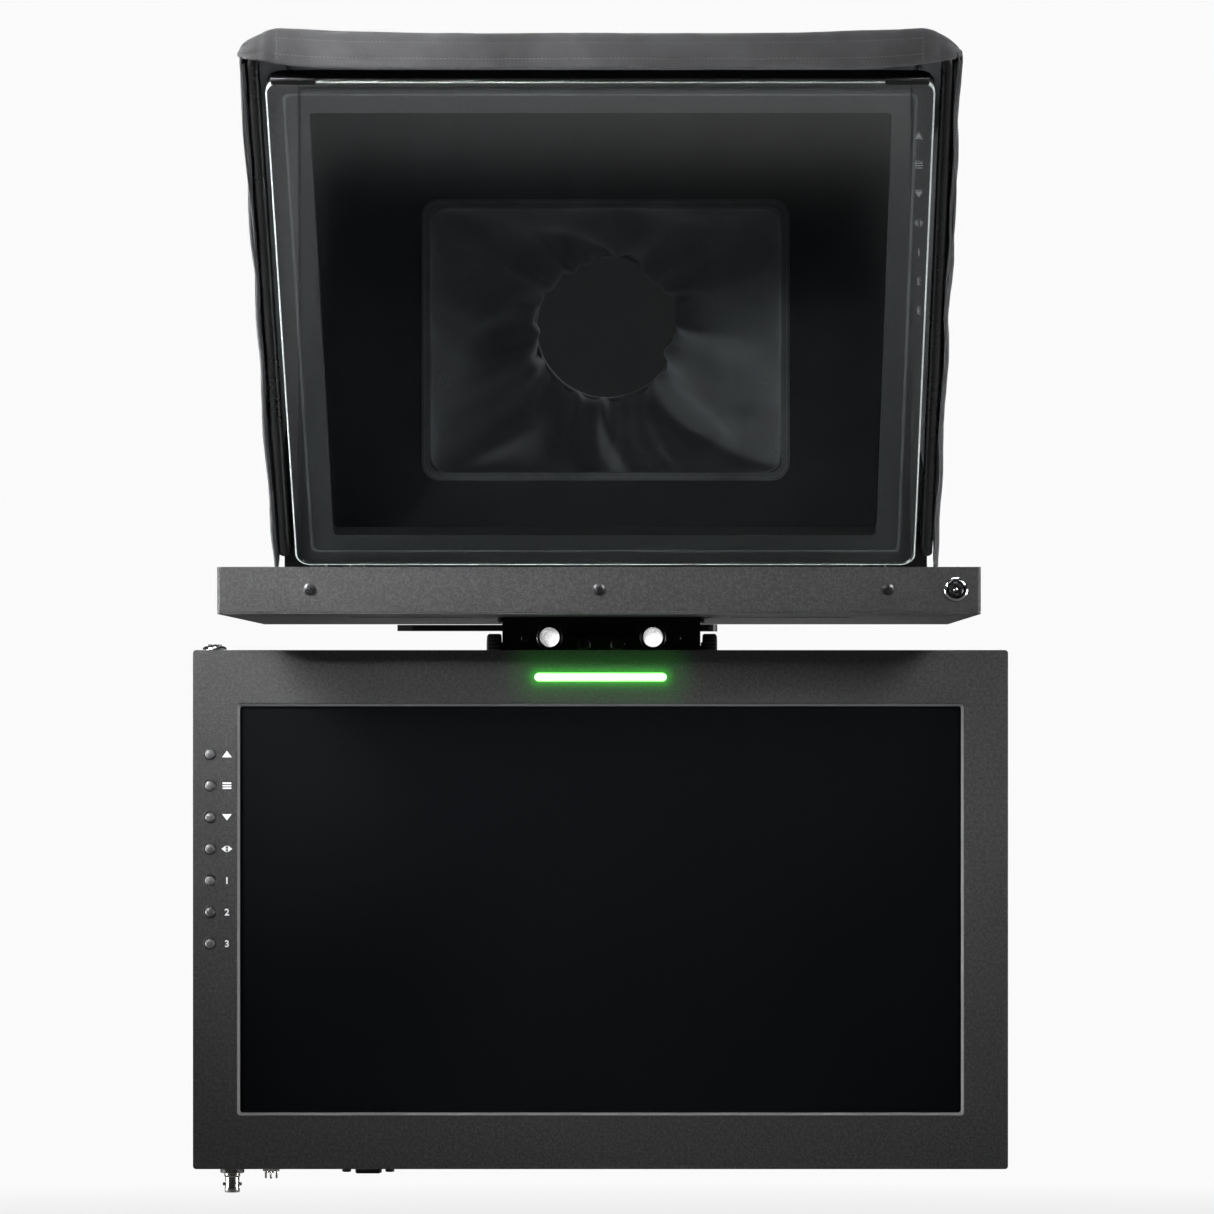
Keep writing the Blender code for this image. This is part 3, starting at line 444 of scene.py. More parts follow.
def anodised(name, colour, roughness, stretch=(1.0, 1.0, 1.0)):
    """Bead-blasted and anodised aluminium, with faint handling marks."""
    graph = Graph(name, metallic=0.55)
    blast = graph.noise(2600.0, 2.0, 0.6)
    marks = graph.noise(60.0, 5.0, 0.6, stretch)
    # here the lighter marks are handling wear, with no painted light
    wear_and_painted_highlight = graph.span(marks, 0.58, 0.74, 0.0, 0.35)
    graph.put("Base Color", graph.mix(wear_and_painted_highlight, colour, tuple(2.6 * c for c in colour)))
    graph.rough(marks, 0.3, 0.7, roughness + 0.07, roughness - 0.07)
    graph.bump(blast, 0.18, 0.0002)
    return graph.material


def bright_metal(name, colour, roughness, stretch=(1.0, 1.0, 1.0)):
    graph = Graph(name, metallic=1.0)
    marks = graph.noise(220.0, 4.0, 0.6, stretch)
    graph.tint(marks, 0.4, 0.75, colour, tuple(0.72 * c for c in colour))
    graph.rough(marks, 0.35, 0.7, roughness, roughness + 0.14)
    graph.bump(marks, 0.08, 0.0002)
    return graph.material


def moulded(name, colour, roughness, grain=900.0, depth=0.25, gloss=0.5):
    graph = Graph(name, specular_ior_level=gloss)
    pits = graph.noise(grain, 3.0, 0.6)
    tone = graph.noise(35.0, 3.0, 0.5)
    graph.tint(tone, 0.3, 0.7, colour, tuple(1.6 * c for c in colour))
    graph.rough(pits, 0.3, 0.7, roughness - 0.06, roughness + 0.08)
    graph.bump(pits, depth, 0.0003)
    return graph.material


def woven(name, dark, light, thread=0.55, sheen=0.25):
    """Plain weave: threads that cross at right angles, fibres on them, and softly faded folds."""
    graph = Graph(name, roughness=0.88, specular_ior_level=0.18, sheen_weight=sheen,
                  sheen_roughness=0.45)
    graph.put("Sheen Tint", (0.55, 0.56, 0.6))
    turns = 2 * math.pi / (thread * MM)
    stray = graph.node("TexNoise", Vector=graph.place, Scale=160.0, Detail=2.0).outputs["Color"]
    stray = graph.node("VectorMath", {"operation": "SCALE"}, Vector=stray, Scale=2.2 * thread * MM)
    place = graph.node("VectorMath", {"operation": "ADD"})
    graph.tree.links.new(graph.place, place.inputs[0])
    graph.tree.links.new(stray.outputs["Vector"], place.inputs[1])
    parts = graph.node("SeparateXYZ", Vector=place.outputs["Vector"]).outputs
    waves = [graph.maths("SINE", graph.times(parts[axis], turns)) for axis in "XYZ"]
    weave = graph.plus(graph.times(waves[0], waves[1]),
                       graph.times(waves[2], graph.plus(waves[0], waves[1])))
    fibre = graph.noise(2400.0, 3.0, 0.7)
    faded = graph.noise(22.0, 4.0, 0.6)
    height = graph.plus(graph.times(weave, 0.2), fibre)
    tone = graph.plus(graph.times(height, 0.45), graph.times(faded, 0.75))
    graph.tint(tone, 0.35, 0.9, dark, light)
    graph.bump(height, 0.5, 0.0004)
    return graph.material


def screen_look():
    """Anti-glare film on a dark liquid-crystal panel."""
    graph = Graph("liquid crystal screen", specular_ior_level=0.3)
    cloudy = graph.noise(3.2, 2.0, 0.4)
    film = graph.noise(3200.0, 1.0, 0.5)
    graph.tint(cloudy, 0.35, 0.7, (0.0022, 0.0026, 0.0032), (0.0048, 0.0052, 0.0056))
    graph.rough(film, 0.3, 0.7, 0.2, 0.25)
    graph.bump(film, 0.03, 0.0001)
    return graph.material


def beam_splitter_look():
    """Clear glass with a partial mirror coating. Lamps shine through it."""
    graph = Graph("beam splitter glass", roughness=0.0, transmission_weight=1.0, ior=2.1)
    dust = graph.noise(18.0, 5.0, 0.6)
    graph.tint(dust, 0.3, 0.8, (0.94, 0.97, 0.97), (0.9, 0.94, 0.95))
    clear = graph.node("BsdfTransparent", Color=(0.72, 0.74, 0.74))
    path = graph.node("LightPath")
    graph.show(graph.mix_shaders(path.outputs["Is Shadow Ray"], graph.shader.outputs[0],
                                 clear.outputs[0]))
    return graph.material


def ground_glass_look():
    graph = Graph("ground glass edge", roughness=0.32, ior=1.5)
    chips = graph.noise(900.0, 3.0, 0.6)
    graph.tint(chips, 0.3, 0.7, (0.30, 0.34, 0.33), (0.55, 0.6, 0.58))
    graph.bump(chips, 0.3, 0.0002)
    return graph.material


def tally_look():
    """Frosted lens over a row of lamps: white in the middle of its height, green at its rim."""
    graph = Graph("lit tally lens", roughness=0.35)
    parts = graph.parts()
    middle_z = (TALLY_HIGH.z + TALLY_LOW.z) / 2
    off = graph.maths("ABSOLUTE", graph.maths("SUBTRACT", parts["Z"], middle_z * MM))
    lamps = graph.maths("SINE", graph.times(parts["X"], 2 * math.pi / (6.0 * MM)))
    rim = graph.span(off, 0.9 * MM, 1.9 * MM)
    graph.put("Base Color", (0.6, 0.9, 0.58))
    graph.put("Emission Color", graph.mix(rim, (0.90, 1.0, 0.88), (0.22, 1.0, 0.15)))
    graph.put("Emission Strength", graph.span(lamps, -1.0, 1.0, 1.35, 1.6))
    return graph.material


def circuit_look():
    graph = Graph("circuit board", roughness=0.42)
    traces = graph.node("TexBrick", Vector=graph.place, Scale=260.0, Mortar_Size=0.03,
                        Color1=(0.012, 0.075, 0.03), Color2=(0.02, 0.11, 0.045),
                        Mortar=(0.10, 0.24, 0.07)).outputs["Color"]
    pads = graph.node("TexVoronoi", Vector=graph.place, Scale=420.0).outputs["Distance"]
    graph.put("Base Color", graph.mix(graph.span(pads, 0.12, 0.16, 1.0, 0.0),
                                      traces, (0.45, 0.42, 0.32)))
    graph.bump(pads, 0.2, 0.0002)
    return graph.material


def print_look():
    graph = Graph("screen-printed sign", roughness=0.55)
    mottled = graph.noise(1500.0, 3.0, 0.7)
    graph.tint(mottled, 0.35, 0.7, (0.86, 0.87, 0.88), (0.66, 0.67, 0.68))
    graph.bump(mottled, 0.2, 0.0001)
    return graph.material


def make_looks():
    black = (0.0085, 0.0085, 0.009)
    return {
        "powder_coat": powder_coat("black powder coat", black, (0.040, 0.040, 0.041)),
        "talent_coat": powder_coat("black powder coat by the tally light", black,
                                   (0.040, 0.040, 0.041), tally_glow=True),
        "glass_frame_coat": powder_coat("satin black frame coat", (0.012, 0.012, 0.0125),
                                        (0.024, 0.024, 0.025), 2400.0),
        "screen": screen_look(),
        "circuit_board": circuit_look(),
        "button_cap": moulded("button cap", (0.055, 0.055, 0.057), 0.33, 1600.0, 0.08),
        "power_ring": bright_metal("polished ring", (0.66, 0.66, 0.68), 0.09),
        "socket_metal": bright_metal("nickel plate", (0.60, 0.59, 0.56), 0.17),
        "socket_plastic": moulded("socket insulator", (0.012, 0.012, 0.013), 0.4),
        "insulator": moulded("white insulator", (0.55, 0.54, 0.5), 0.45),
        "tally": tally_look(),
        "anodised": anodised("black anodised aluminium", (0.017, 0.017, 0.018), 0.36),
        "bore": bright_metal("honed bore", (0.5, 0.5, 0.5), 0.12),
        "rod_coat": anodised("drawn and anodised rod", (0.019, 0.019, 0.020), 0.3,
                             (1.0, 0.03, 1.0)),
        "knob_plastic": moulded("moulded knob", (0.015, 0.015, 0.016), 0.46),
        "steel": bright_metal("turned steel", (0.52, 0.52, 0.53), 0.24),
        "brushed": bright_metal("brushed plate", (0.16, 0.16, 0.165), 0.34, (0.05, 1.0, 1.0)),
        "black_steel": bright_metal("black oxide steel", (0.075, 0.075, 0.078), 0.28),
        "mirror_glass": beam_splitter_look(),
        "glass_edge": ground_glass_look(),
        "hood_cloth": woven("hood blackout cloth", (0.022, 0.022, 0.023),
                            (0.088, 0.088, 0.092)),
        "sleeve_cloth": woven("sleeve stretch cloth", (0.024, 0.024, 0.025),
                              (0.085, 0.085, 0.088), 0.4, 0.35),
        "binding": woven("edge binding tape", (0.018, 0.018, 0.019),
                         (0.070, 0.070, 0.073), 0.9, 0.3),
        "thread": woven("sewing thread", (0.05, 0.05, 0.052), (0.14, 0.14, 0.145), 0.3, 0.3),
        "panel_plastic": moulded("flocked board", (0.0065, 0.0065, 0.007), 0.85, 1800.0, 0.5,
                                 0.08),
        "print": print_look(),
        "rubber": moulded("ribbed rubber", (0.012, 0.012, 0.012), 0.72, 700.0, 0.4),
        "seal": moulded("foam seal", (0.05, 0.05, 0.052), 0.8, 1200.0, 0.5),
    }


def dress_nodes():
    """Gives each CAD node the look of its record slot, or a listed look for a few, and breaks the sharp edges of
    the listed nodes.
    """
    special = {"talent_front_bezel": "talent_coat", "vga_socket": "black_steel",
               "prompter_socket_plate": "brushed"}
    softened = {"talent_front_bezel": 0.45, "talent_rear_cover": 0.4,
                "prompter_front_bezel": 0.45, "base_plate": 0.6, "rod_carriage": 0.5,
                "mounting_plate": 0.4, "drop_bracket": 0.4, "clamp_lever": 0.4,
                "talent_mount_plate": 0.5, "tilt_rail": 0.4, "glass_frame": 0.3,
                "hood_rear_panel": 0.5}
    for part in FRAME["record"]["subparts"]:
        obj = FRAME["nodes"][part["node"]]
        look = LOOKS[special.get(part["node"], part["material_slot"])]
        for held in obj.material_slots:
            held.link = "OBJECT"
            held.material = look
        if part["node"] in softened:
            soften(obj, softened[part["node"]])


# ---------------------------------------------------------------- monitors


class Face:
    """The front face of a monitor: local X and Y lie in it, and +Z comes out of the screen."""

    def __init__(self, name, body, to_world):
        self.name = name
        self.body = body
        self.to_world = to_world
        self.inverse = to_world.inverted()

    def local(self, node):
        return self.inverse @ node_centre(node)


def monitor_faces():
    talent_middle = (TALENT_LOW + TALENT_HIGH) / 2
    talent = (shift(0.0, TALENT_LOW.y, talent_middle.z)
              @ Matrix.Rotation(math.radians(90), 4, "X"))
    prompter_middle = (PROMPTER_LOW + PROMPTER_HIGH) / 2
    prompter = (shift(0.0, prompter_middle.y, PROMPTER_HIGH.z)
                @ Matrix.Rotation(math.radians(180), 4, "Z"))
    return Face("talent", "talent", talent), Face("prompter", "head", prompter)


def digit_mesh(text, height):
    """A flat digit, centred on the origin."""
    curve = bpy.data.curves.new("digit", "FONT")
    curve.body = text
    curve.size = height / 0.7
    curve.offset = 0.04 * height
    curve.align_x = "CENTER"
    curve.extrude = PRINT_DEEP
    helper = bpy.data.objects.new("digit", curve)
    bpy.context.collection.objects.link(helper)
    bpy.context.view_layer.update()
    mesh = bpy.data.meshes.new_from_object(helper)
    bpy.data.objects.remove(helper)
    bpy.data.curves.remove(curve)
    solid = bmesh.new()
    solid.from_mesh(mesh)
    bpy.data.meshes.remove(mesh)
    return moved(solid, shift(0.0, -height / 2, 0.0))


def arrow(size, up=True):
    tip = 1.0 if up else -1.0
    corners = [(-size, -0.66 * size * tip), (size, -0.66 * size * tip), (0.0, 0.66 * size * tip)]
    return prism(corners if up else corners[::-1], -PRINT_DEEP, PRINT_DEEP)


def sign(label):
    """The printed sign beside a button: arrows, a menu's bars, a flip mark, and input numbers."""
    if label in ("up", "down"):
        return arrow(2.75, label == "up")
    if label == "menu":
        return together([box((-2.5, y - 0.38, -PRINT_DEEP), (2.5, y + 0.38, PRINT_DEEP))
                         for y in (-1.45, 0.0, 1.45)])
    if label == "flip":
        halves = [prism([(side * 0.7, -1.8), (side * 3.1, 0.0), (side * 0.7, 1.8)][::side],
                        -PRINT_DEEP, PRINT_DEEP) for side in (-1, 1)]
        line = [box((-0.2, y - 0.42, -PRINT_DEEP), (0.2, y + 0.42, PRINT_DEEP))
                for y in (-1.5, 0.0, 1.5)]
        return together([*halves, *line])
    return digit_mesh(label[-1], 3.7)


def button_signs(face):
    signs = []
    for label in BUTTON_NAMES:
        at = face.local(f"{face.name}_button_{label}")
        signs.append(moved(sign(label), shift(at.x + 9.7, at.y, 0.12)))
    solid = moved(together(signs), face.to_world)
    add(f"{face.name}_button_signs", solid, "print", face.body)


def dome(radius, height, steps=7):
    """(radius, height) stations of a dome, from its tip to its rim."""
    turns = [math.pi / 2 * i / steps for i in range(steps + 1)]
    return [(max(0.02, radius * math.sin(a)), height * math.cos(a)) for a in turns]


def push_buttons(face):
    """Domed caps in place of the faceted ones, and the pressed rim round each hole."""
    rims = []
    for label in BUTTON_NAMES:
        node = f"{face.name}_button_{label}"
        at = face.local(node)
        stations = dome(2.95, 1.75)
        stations += [(2.95, -3.3), (4.1, -3.3), (4.1, -4.3)]
        cap = moved(turned(stations, 28), face.to_world @ shift(at.x, at.y, 0.0))
        add(f"{node}_cap", cap, "button_cap", node, replaces=[node])
        rim = turned([(3.28, 0.02), (3.38, 0.22), (3.75, 0.24), (4.0, 0.02)], 28, ring=True)
        rims.append(moved(rim, face.to_world @ shift(at.x, at.y, 0.0)))
    add(f"{face.name}_button_rims", together(rims), "powder_coat", face.body)


def notched_ring(inner, outer, low, high, notch, count=6, sides=72):
    """A ring whose top has notches cut down to a height."""
    def top(index):
        return notch if (index * count / sides) % 1.0 < 0.34 else high

    turns = [2 * math.pi * i / sides for i in range(sides)]
    rows = []
    for radius, level in ((inner, "low"), (outer, "low"), (outer, "edge"), (outer - 0.3, "top"),
                          (inner + 0.25, "top"), (inner, "edge")):
        heights = {"low": lambda i: low, "top": top, "edge": lambda i: top(i) - 0.3}[level]
        rows.append([(radius * math.cos(a), radius * math.sin(a), heights(i))
                     for i, a in enumerate(turns)])
    return loft(rows, ring=True)


def power_switch(face, axis):
    """A polished sloping ring with a notched collar, and the push button inside it."""
    ring_node = f"{face.name}_power_bezel"
    seat = along(axis, behind_tip(ring_node, axis, 2.2))
    ring = turned([(5.35, 0.25), (6.85, 0.25), (6.85, 1.0), (6.6, 1.45), (5.5, 2.2), (5.2, 2.25),
                   (5.05, 2.0), (4.9, 1.2), (4.9, -8.0), (5.2, -8.0)], 48, ring=True)
    add(f"{face.name}_power_ring", moved(ring, seat), "power_ring", face.body,
        replaces=[ring_node])
    button = f"{face.name}_power_button"
    collar = notched_ring(2.5, 4.05, 1.0, 3.3, 2.2)
    add(f"{button}_collar", moved(collar, seat), "black_steel", button,
        replaces=[button])
    core = turned([*dome(1.9, 2.9), (1.9, 0.9), (4.0, 0.9), (4.0, -7.0)], 36)
    add(f"{button}_core", moved(core, seat), "power_ring", button)


def thread_stations(radius, start, end, pitch, depth):
    """Stations of ring-shaped ridges that stand for a screw thread."""
    stations = []
    for i in range(int((end - start) / pitch)):
        z = start + i * pitch
        stations += [(radius - depth, z), (radius, z + 0.35 * pitch), (radius, z + 0.55 * pitch)]
    return [*stations, (radius - depth, end)]


def bnc_body():
    washer = turned([(5.0, 0.25), (6.9, 0.25), (7.1, 0.5), (7.1, 0.9), (6.9, 1.1), (5.0, 1.1)],
                    40, ring=True)
    nut = shaped([(6.3, 1.1), (7.0, 1.5), (7.0, 4.6), (6.3, 5.1), (4.4, 5.1), (4.4, 1.1)],
                 circle(1.0, 6), ring=True)
    threads = thread_stations(4.75, 5.1, 7.0, 0.5, 0.3)
    barrel = turned([(4.4, -13.0), *threads, (4.1, 7.4), (4.1, 13.2), (4.35, 13.5), (4.35, 15.6),
                     (4.1, 16.1), (3.75, 16.1), (3.6, 15.7), (3.6, 9.0), (3.7, -12.8)],
                    40, ring=True)
    lugs = [moved(turned([(0.3, 5.5), (0.95, 5.4), (0.95, 3.8), (0.3, 3.8)], 16),
                  shift(0, 0, 11.4) @ Matrix.Rotation(math.pi * side, 4, "Z")
                  @ along((1, 0, 0))) for side in (0, 1)]
    return [washer, nut, barrel, *lugs]


def bnc_inside():
    sleeve = turned([(1.1, 8.6), (3.0, 8.6), (3.0, 14.2), (2.6, 14.6), (1.3, 14.6), (1.1, 14.2)],
                    28, ring=True)
    return sleeve, turned([(1.0, 9.0), (1.0, 14.0), (0.6, 14.3), (0.6, 9.0)], 20, ring=True)


def dc_body():
    nut = shaped([(4.6, 0.25), (4.9, 0.6), (4.9, 3.6), (4.6, 4.0), (3.0, 4.0), (3.0, 0.25)],
                 ribbed(18, 0.08), ring=True)
    barrel = turned([(3.3, -10.0), (3.3, 4.4), (2.95, 4.8), (2.6, 4.4), (2.6, -9.8)], 36,
                    ring=True)
    prongs = [moved(turned([(0.62, 3.9), (0.62, 7.7), (0.35, 8.2)], 14),
                    shift(x, y, 0)) for x, y in circle(3.1, 4)]
    return [nut, barrel, *prongs, turned([(0.9, 0.5), (0.9, 7.4), (0.5, 7.9)], 20)]


def video_face():
    """The insulating face of a video socket with its fifteen contact holes, in three rows."""
    outline = [(-6.9, -3.1), (6.9, -3.1), (5.9, 3.1), (-5.9, 3.1)]
    block = prism([(1.03 * x, 1.03 * y) for x, y in outline], 2.2, 2.62)
    holes = []
    for row, y in enumerate((-1.95, 0.0, 1.95)):
        shift = 0.55 if row == 1 else -0.55
        for i in range(5):
            hole = turned([(0.5, 0.0), (0.62, 0.12), (0.42, 0.12), (0.42, 0.0)], 12, ring=True)
            holes.append(moved(hole, Matrix.Translation((2.25 * (i - 2) + shift, y, 2.6))))
    return block, together(holes)


def jack_screws():
    posts = []
    for side in (-12.5, 12.5):
        post = shaped([(2.3, 0.3), (2.6, 0.6), (2.6, 4.0), (2.2, 4.4), (1.35, 4.4), (1.2, 4.0),
                       (1.2, 0.3)], circle(1.0, 6), ring=True)
        posts.append(moved(post, shift(side, 0, 0)))
    shell = [[(scale * x + math.copysign(wall, x), scale * y + math.copysign(wall, y), z)
              for x, y in ((-7.15, -3.35), (7.15, -3.35), (6.1, 3.35), (-6.1, 3.35))]
             for scale, wall, z in ((1.0, 0.0, 0.3), (1.0, 0.5, 0.3), (1.0, 0.5, 4.9),
                                    (1.0, 0.35, 5.1), (1.0, 0.0, 4.9))]
    return together([*posts, loft(shell, ring=True)])


def socket_seats(face):
    """(kind, matrix) of the monitor's sockets, whose local +Z points out of the wall."""
    edge = TALENT_LOW.x
    for kind in ("bnc", "dc", "vga", "hdmi"):
        centre = node_centre(f"{kind}_socket")
        if face.name == "talent":
            wall = Vector((centre.x, centre.y, node_box("talent_rear_cover")[0].z))
        else:
            plate = node_centre("prompter_socket_plate")
            wall = Vector((PROMPTER_HIGH.x - (centre.x - edge), PROMPTER_HIGH.y, plate.z))
        turn = face.to_world.to_3x3().to_4x4() @ Matrix.Rotation(math.radians(90), 4, "X")
        yield kind, Matrix.Translation(wall) @ turn


def sockets(face):
    """Plugs' mating parts. The talent monitor's round sockets replace the faceted ones."""
    metal, plastic, white, dark_metal = [], [], [], []
    for kind, seat in socket_seats(face):
        if kind == "bnc":
            sleeve, pin = bnc_inside()
            metal += [moved(solid, seat) for solid in (*bnc_body(), pin)]
            white.append(moved(sleeve, seat))
        elif kind == "dc":
            metal += [moved(solid, seat) for solid in dc_body()]
        elif kind == "vga":
            block, holes = video_face()
            plastic.append(moved(block, seat))
            dark_metal.append(moved(holes, seat))
            dark_metal.append(moved(jack_screws(), seat))
        else:
            tongue = box((-5.6, 0.2, -8.3), (5.6, 1.3, -1.2))
            contacts = [box((x - 0.2, 0.05, -6.5), (x + 0.2, 0.2, -1.6))
                        for x in [-4.5 + i for i in range(10)]]
            plastic.append(moved(tongue, seat))
            metal += [moved(contact, seat) for contact in contacts]
    replaced = ["bnc_socket", "dc_socket"] if face.name == "talent" else []
    add(f"{face.name}_socket_barrels", together(metal), "socket_metal", face.body,
        replaces=replaced)
    add(f"{face.name}_socket_insulators", together(white), "insulator", face.body)
    add(f"{face.name}_socket_inserts", together(plastic), "socket_plastic", face.body)
    add(f"{face.name}_socket_jackscrews", together(dark_metal), "black_steel", face.body)


def cross_screw(radius, height, depth=0.9):
    """A round screw head with a cross recess, its base at 0."""
    def level(x, y):
        r = math.hypot(x, y)
        top = height * math.sqrt(max(0.0, 1.0 - 0.75 * (r / radius) ** 2))
        in_cross = min(abs(x), abs(y)) < 0.13 * radius and r < 0.62 * radius
        return top - depth if in_cross else top

    rows = []
    for k in range(15, 0, -1):
        ring = circle(radius * k / 15, 48)
        rows.append([(x, y, level(x, y)) for x, y in ring])
    return loft([lift(circle(radius, 48), 0.0), *rows])


def socket_screw(radius, height, across, depth=2.0):
    """A button-head screw with a hexagon socket, its base at 0."""
    steps = 48
    hexagonal = []
    for i in range(steps):
        angle = 2 * math.pi * i / steps
        within = (angle + math.pi / 6) % (math.pi / 3) - math.pi / 6
        reach = across / 2 / math.cos(within)
        hexagonal.append((reach * math.cos(angle), reach * math.sin(angle)))
    head = [lift(circle(radius, steps), 0.0)]
    for share in (0.0, 0.3, 0.6, 0.85):
        turn = share * math.pi / 2
        width = radius - (radius - across * 0.72) * (1 - math.cos(turn))
        head.append(lift(circle(width, steps), height * (0.35 + 0.65 * math.sin(turn))))
    head.append(lift([(1.06 * x, 1.06 * y) for x, y in hexagonal], height))
    head.append(lift(hexagonal, height - 0.15))
    head.append(lift(hexagonal, height - depth))
    return loft(head)


def case_screws(face):
    for label in ("left", "centre", "right"):
        node = f"prompter_case_screw_{label}"
        centre = node_centre(node)
        seat = along((0, -1, 0), (centre.x, PROMPTER_LOW.y - 0.15, centre.z))
        turn = Matrix.Rotation({"left": 0.5, "centre": 1.1, "right": 0.2}[label], 4, "Z")
        add(f"{node}_head", moved(cross_screw(3.3, 1.3), seat @ turn), "black_steel", face.body,
            replaces=[node])


def cover_screws(face):
    """Small screws that hold the talent monitor's rear cover and the plate on its back."""
    low, high = node_box("talent_rear_cover")
    heads = []
    for x in (low.x + 16, -110.0, 110.0, high.x - 16):
        for z in (low.z + 12, high.z - 12):
            heads.append(moved(cross_screw(2.6, 1.0), along((0, 1, 0), (x, high.y - 0.1, z))))
    add("talent_cover_screws", together(heads), "black_steel", face.body)
    plate_low, plate_high = node_box("talent_mount_plate")
    plate_back = node_box("tilt_rail")[0].y - 0.3
    bolts = []
    for x in (-50.0, 50.0):
        for z in (-50.0, 50.0):
            at = (x, plate_back, (plate_low.z + plate_high.z) / 2 + z)
            bolts.append(moved(socket_screw(3.8, 2.4, 2.5), along((0, 1, 0), at)))
    add("talent_mount_bolts", together(bolts), "black_steel", face.body)


# ---------------------------------------------------------------- rods, carriage and knobs


def behind_tip(node, axis, back):
    """A point on a CAD node's middle line, back from the end that an axis points to."""
    low, high = node_box(node)
    return [high[i] - back if way > 0 else low[i] + back if way < 0 else (low[i] + high[i]) / 2
            for i, way in enumerate(axis)]


def knob(node, axis, back, solid):
    """A knob in place of a CAD node, whose seat is back from the node's tip."""
    seat = along(axis, behind_tip(node, axis, back))
    add(f"{node}_grip", moved(solid, seat), "knob_plastic", node,
        replaces=[node])


def knobs():
    """Ribbed grips in place of the plain turned ones."""
    clamp = [(3.0, -15.3), (3.0, 0.4), (5.0, 0.4), (5.0, 1.2), (9.2, 1.5), (9.9, 2.2), (10.0, 3.0),
             (10.0, 8.4), (9.7, 9.2), (8.6, 9.9), (7.0, 10.0), (6.4, 9.4), (0.3, 9.2)]
    for label, side in (("left", -1), ("right", 1)):
        node = f"rod_clamp_knob_{label}"
        knob(node, (side, 0, 0), 10.2, grip(clamp, ribbed(30, 0.055), 1.4))
    tilt = [(4.0, -52.0), (4.0, 0.4), (6.0, 0.4), (6.0, 2.0), (8.0, 2.4), (8.8, 3.2), (9.0, 4.0),
            (9.0, 12.2), (8.6, 13.3), (7.4, 14.0), (5.5, 13.9), (0.3, 13.4)]
    knob("tilt_knob", (1, 0, 0), 14.0, grip(tilt, ribbed(26, 0.06), 2.0))
    height = [(3.0, -5.4), (3.0, 0.4), (5.0, 0.4), (5.0, 2.0), (11.8, 2.5), (12.8, 3.6),
              (13.0, 5.0), (13.0, 11.6), (12.4, 13.2), (10.6, 14.0), (8.0, 13.8), (0.3, 13.2)]
    knob("height_knob", (0, 1, 0), 14.0, grip(height, ribbed(8, 0.16, 8), 2.0))


def grip(profile, outline, ribs_from):
    """A turned knob whose stations past a height take the ribbed outline."""
    plain = [(x / math.hypot(x, y), y / math.hypot(x, y)) for x, y in outline]
    widest = max(radius for radius, _ in profile)
    sections = []
    for radius, height in profile:
        ribs = outline if height > ribs_from and radius > 0.8 * widest else plain
        sections.append([(x * radius, y * radius, height) for x, y in ribs])
    return loft(sections)


def rod_tubes():
    """Drawn tubes in place of the faceted rods, with chamfered ends and a smooth bore."""
    for label in ("left", "right"):
        node = f"rod_{label}"
        low, high = node_box(node)
        radius, length = (high.x - low.x) / 2, high.y - low.y
        bore = radius - 1.8
        wall = turned([(bore + 0.05, 0.4), (bore + 0.4, 0.0), (radius - 0.5, 0.0), (radius, 0.5),
                       (radius, length - 0.5), (radius - 0.5, length), (bore + 0.4, length),
                       (bore + 0.05, length - 0.4)], 64, ring=True)
        liner = turned([(bore, 0.4), (bore + 0.04, 0.4), (bore + 0.04, length - 0.4),
                        (bore, length - 0.4)], 64, ring=True)
        seat = along((0, 1, 0), ((low.x + high.x) / 2, low.y, (low.z + high.z) / 2))
        add(f"{node}_tube", moved(wall, seat), "rod_coat", "base", replaces=[node])
        add(f"{node}_bore", moved(liner, seat), "bore", "base")


def carriage_details():
    """The carriage's screws, the mounting plate's bolts and pads, and the lever's washer."""
    front = node_box("rod_carriage")[0].y + 3.0
    screws = [moved(socket_screw(4.7, 2.6, 4.0), along((0, -1, 0), (x, front, 17.4)))
              for x in (-10.6, 9.8)]
    screws += [moved(socket_screw(2.2, 1.0, 1.6, 0.9), along((0, -1, 0), (x, front, 21.0)))
               for x in (-44.4, 44.0)]
    add("carriage_screws", together(screws), "black_steel", "head")
    plate_low, plate_high = node_box("mounting_plate")
    bolts = [moved(socket_screw(3.4, 1.9, 3.0), along((0, 0, -1), (x, plate_high.y - 8.0,
                                                                   plate_low.z)))
             for x in (-20.0, 20.0, plate_high.x - 8.0)]
    pads = [box((x - 9.0, y - 0.9, plate_high.z - 0.01), (x + 9.0, y + 0.9, plate_high.z + 0.25))
            for x in (-40.0, 0.0, 40.0) for y in (-392.0, -318.0)]
    add("mounting_bolts", together(bolts), "black_steel", "head")
    add("mounting_pads", together(pads), "rubber", "head")
    lever_low, lever_high = node_box("clamp_lever")
    pivot = Vector((lever_high.x - 7.5, (lever_low.y + lever_high.y) / 2, lever_low.z))
    cap = turned([(2.9, -0.6), (4.6, -0.6), (4.8, -0.3), (4.8, 0.05), (2.9, 0.05)], 32, ring=True)
    add("lever_washer", moved(cap, Matrix.Translation(pivot)), "steel", "head")


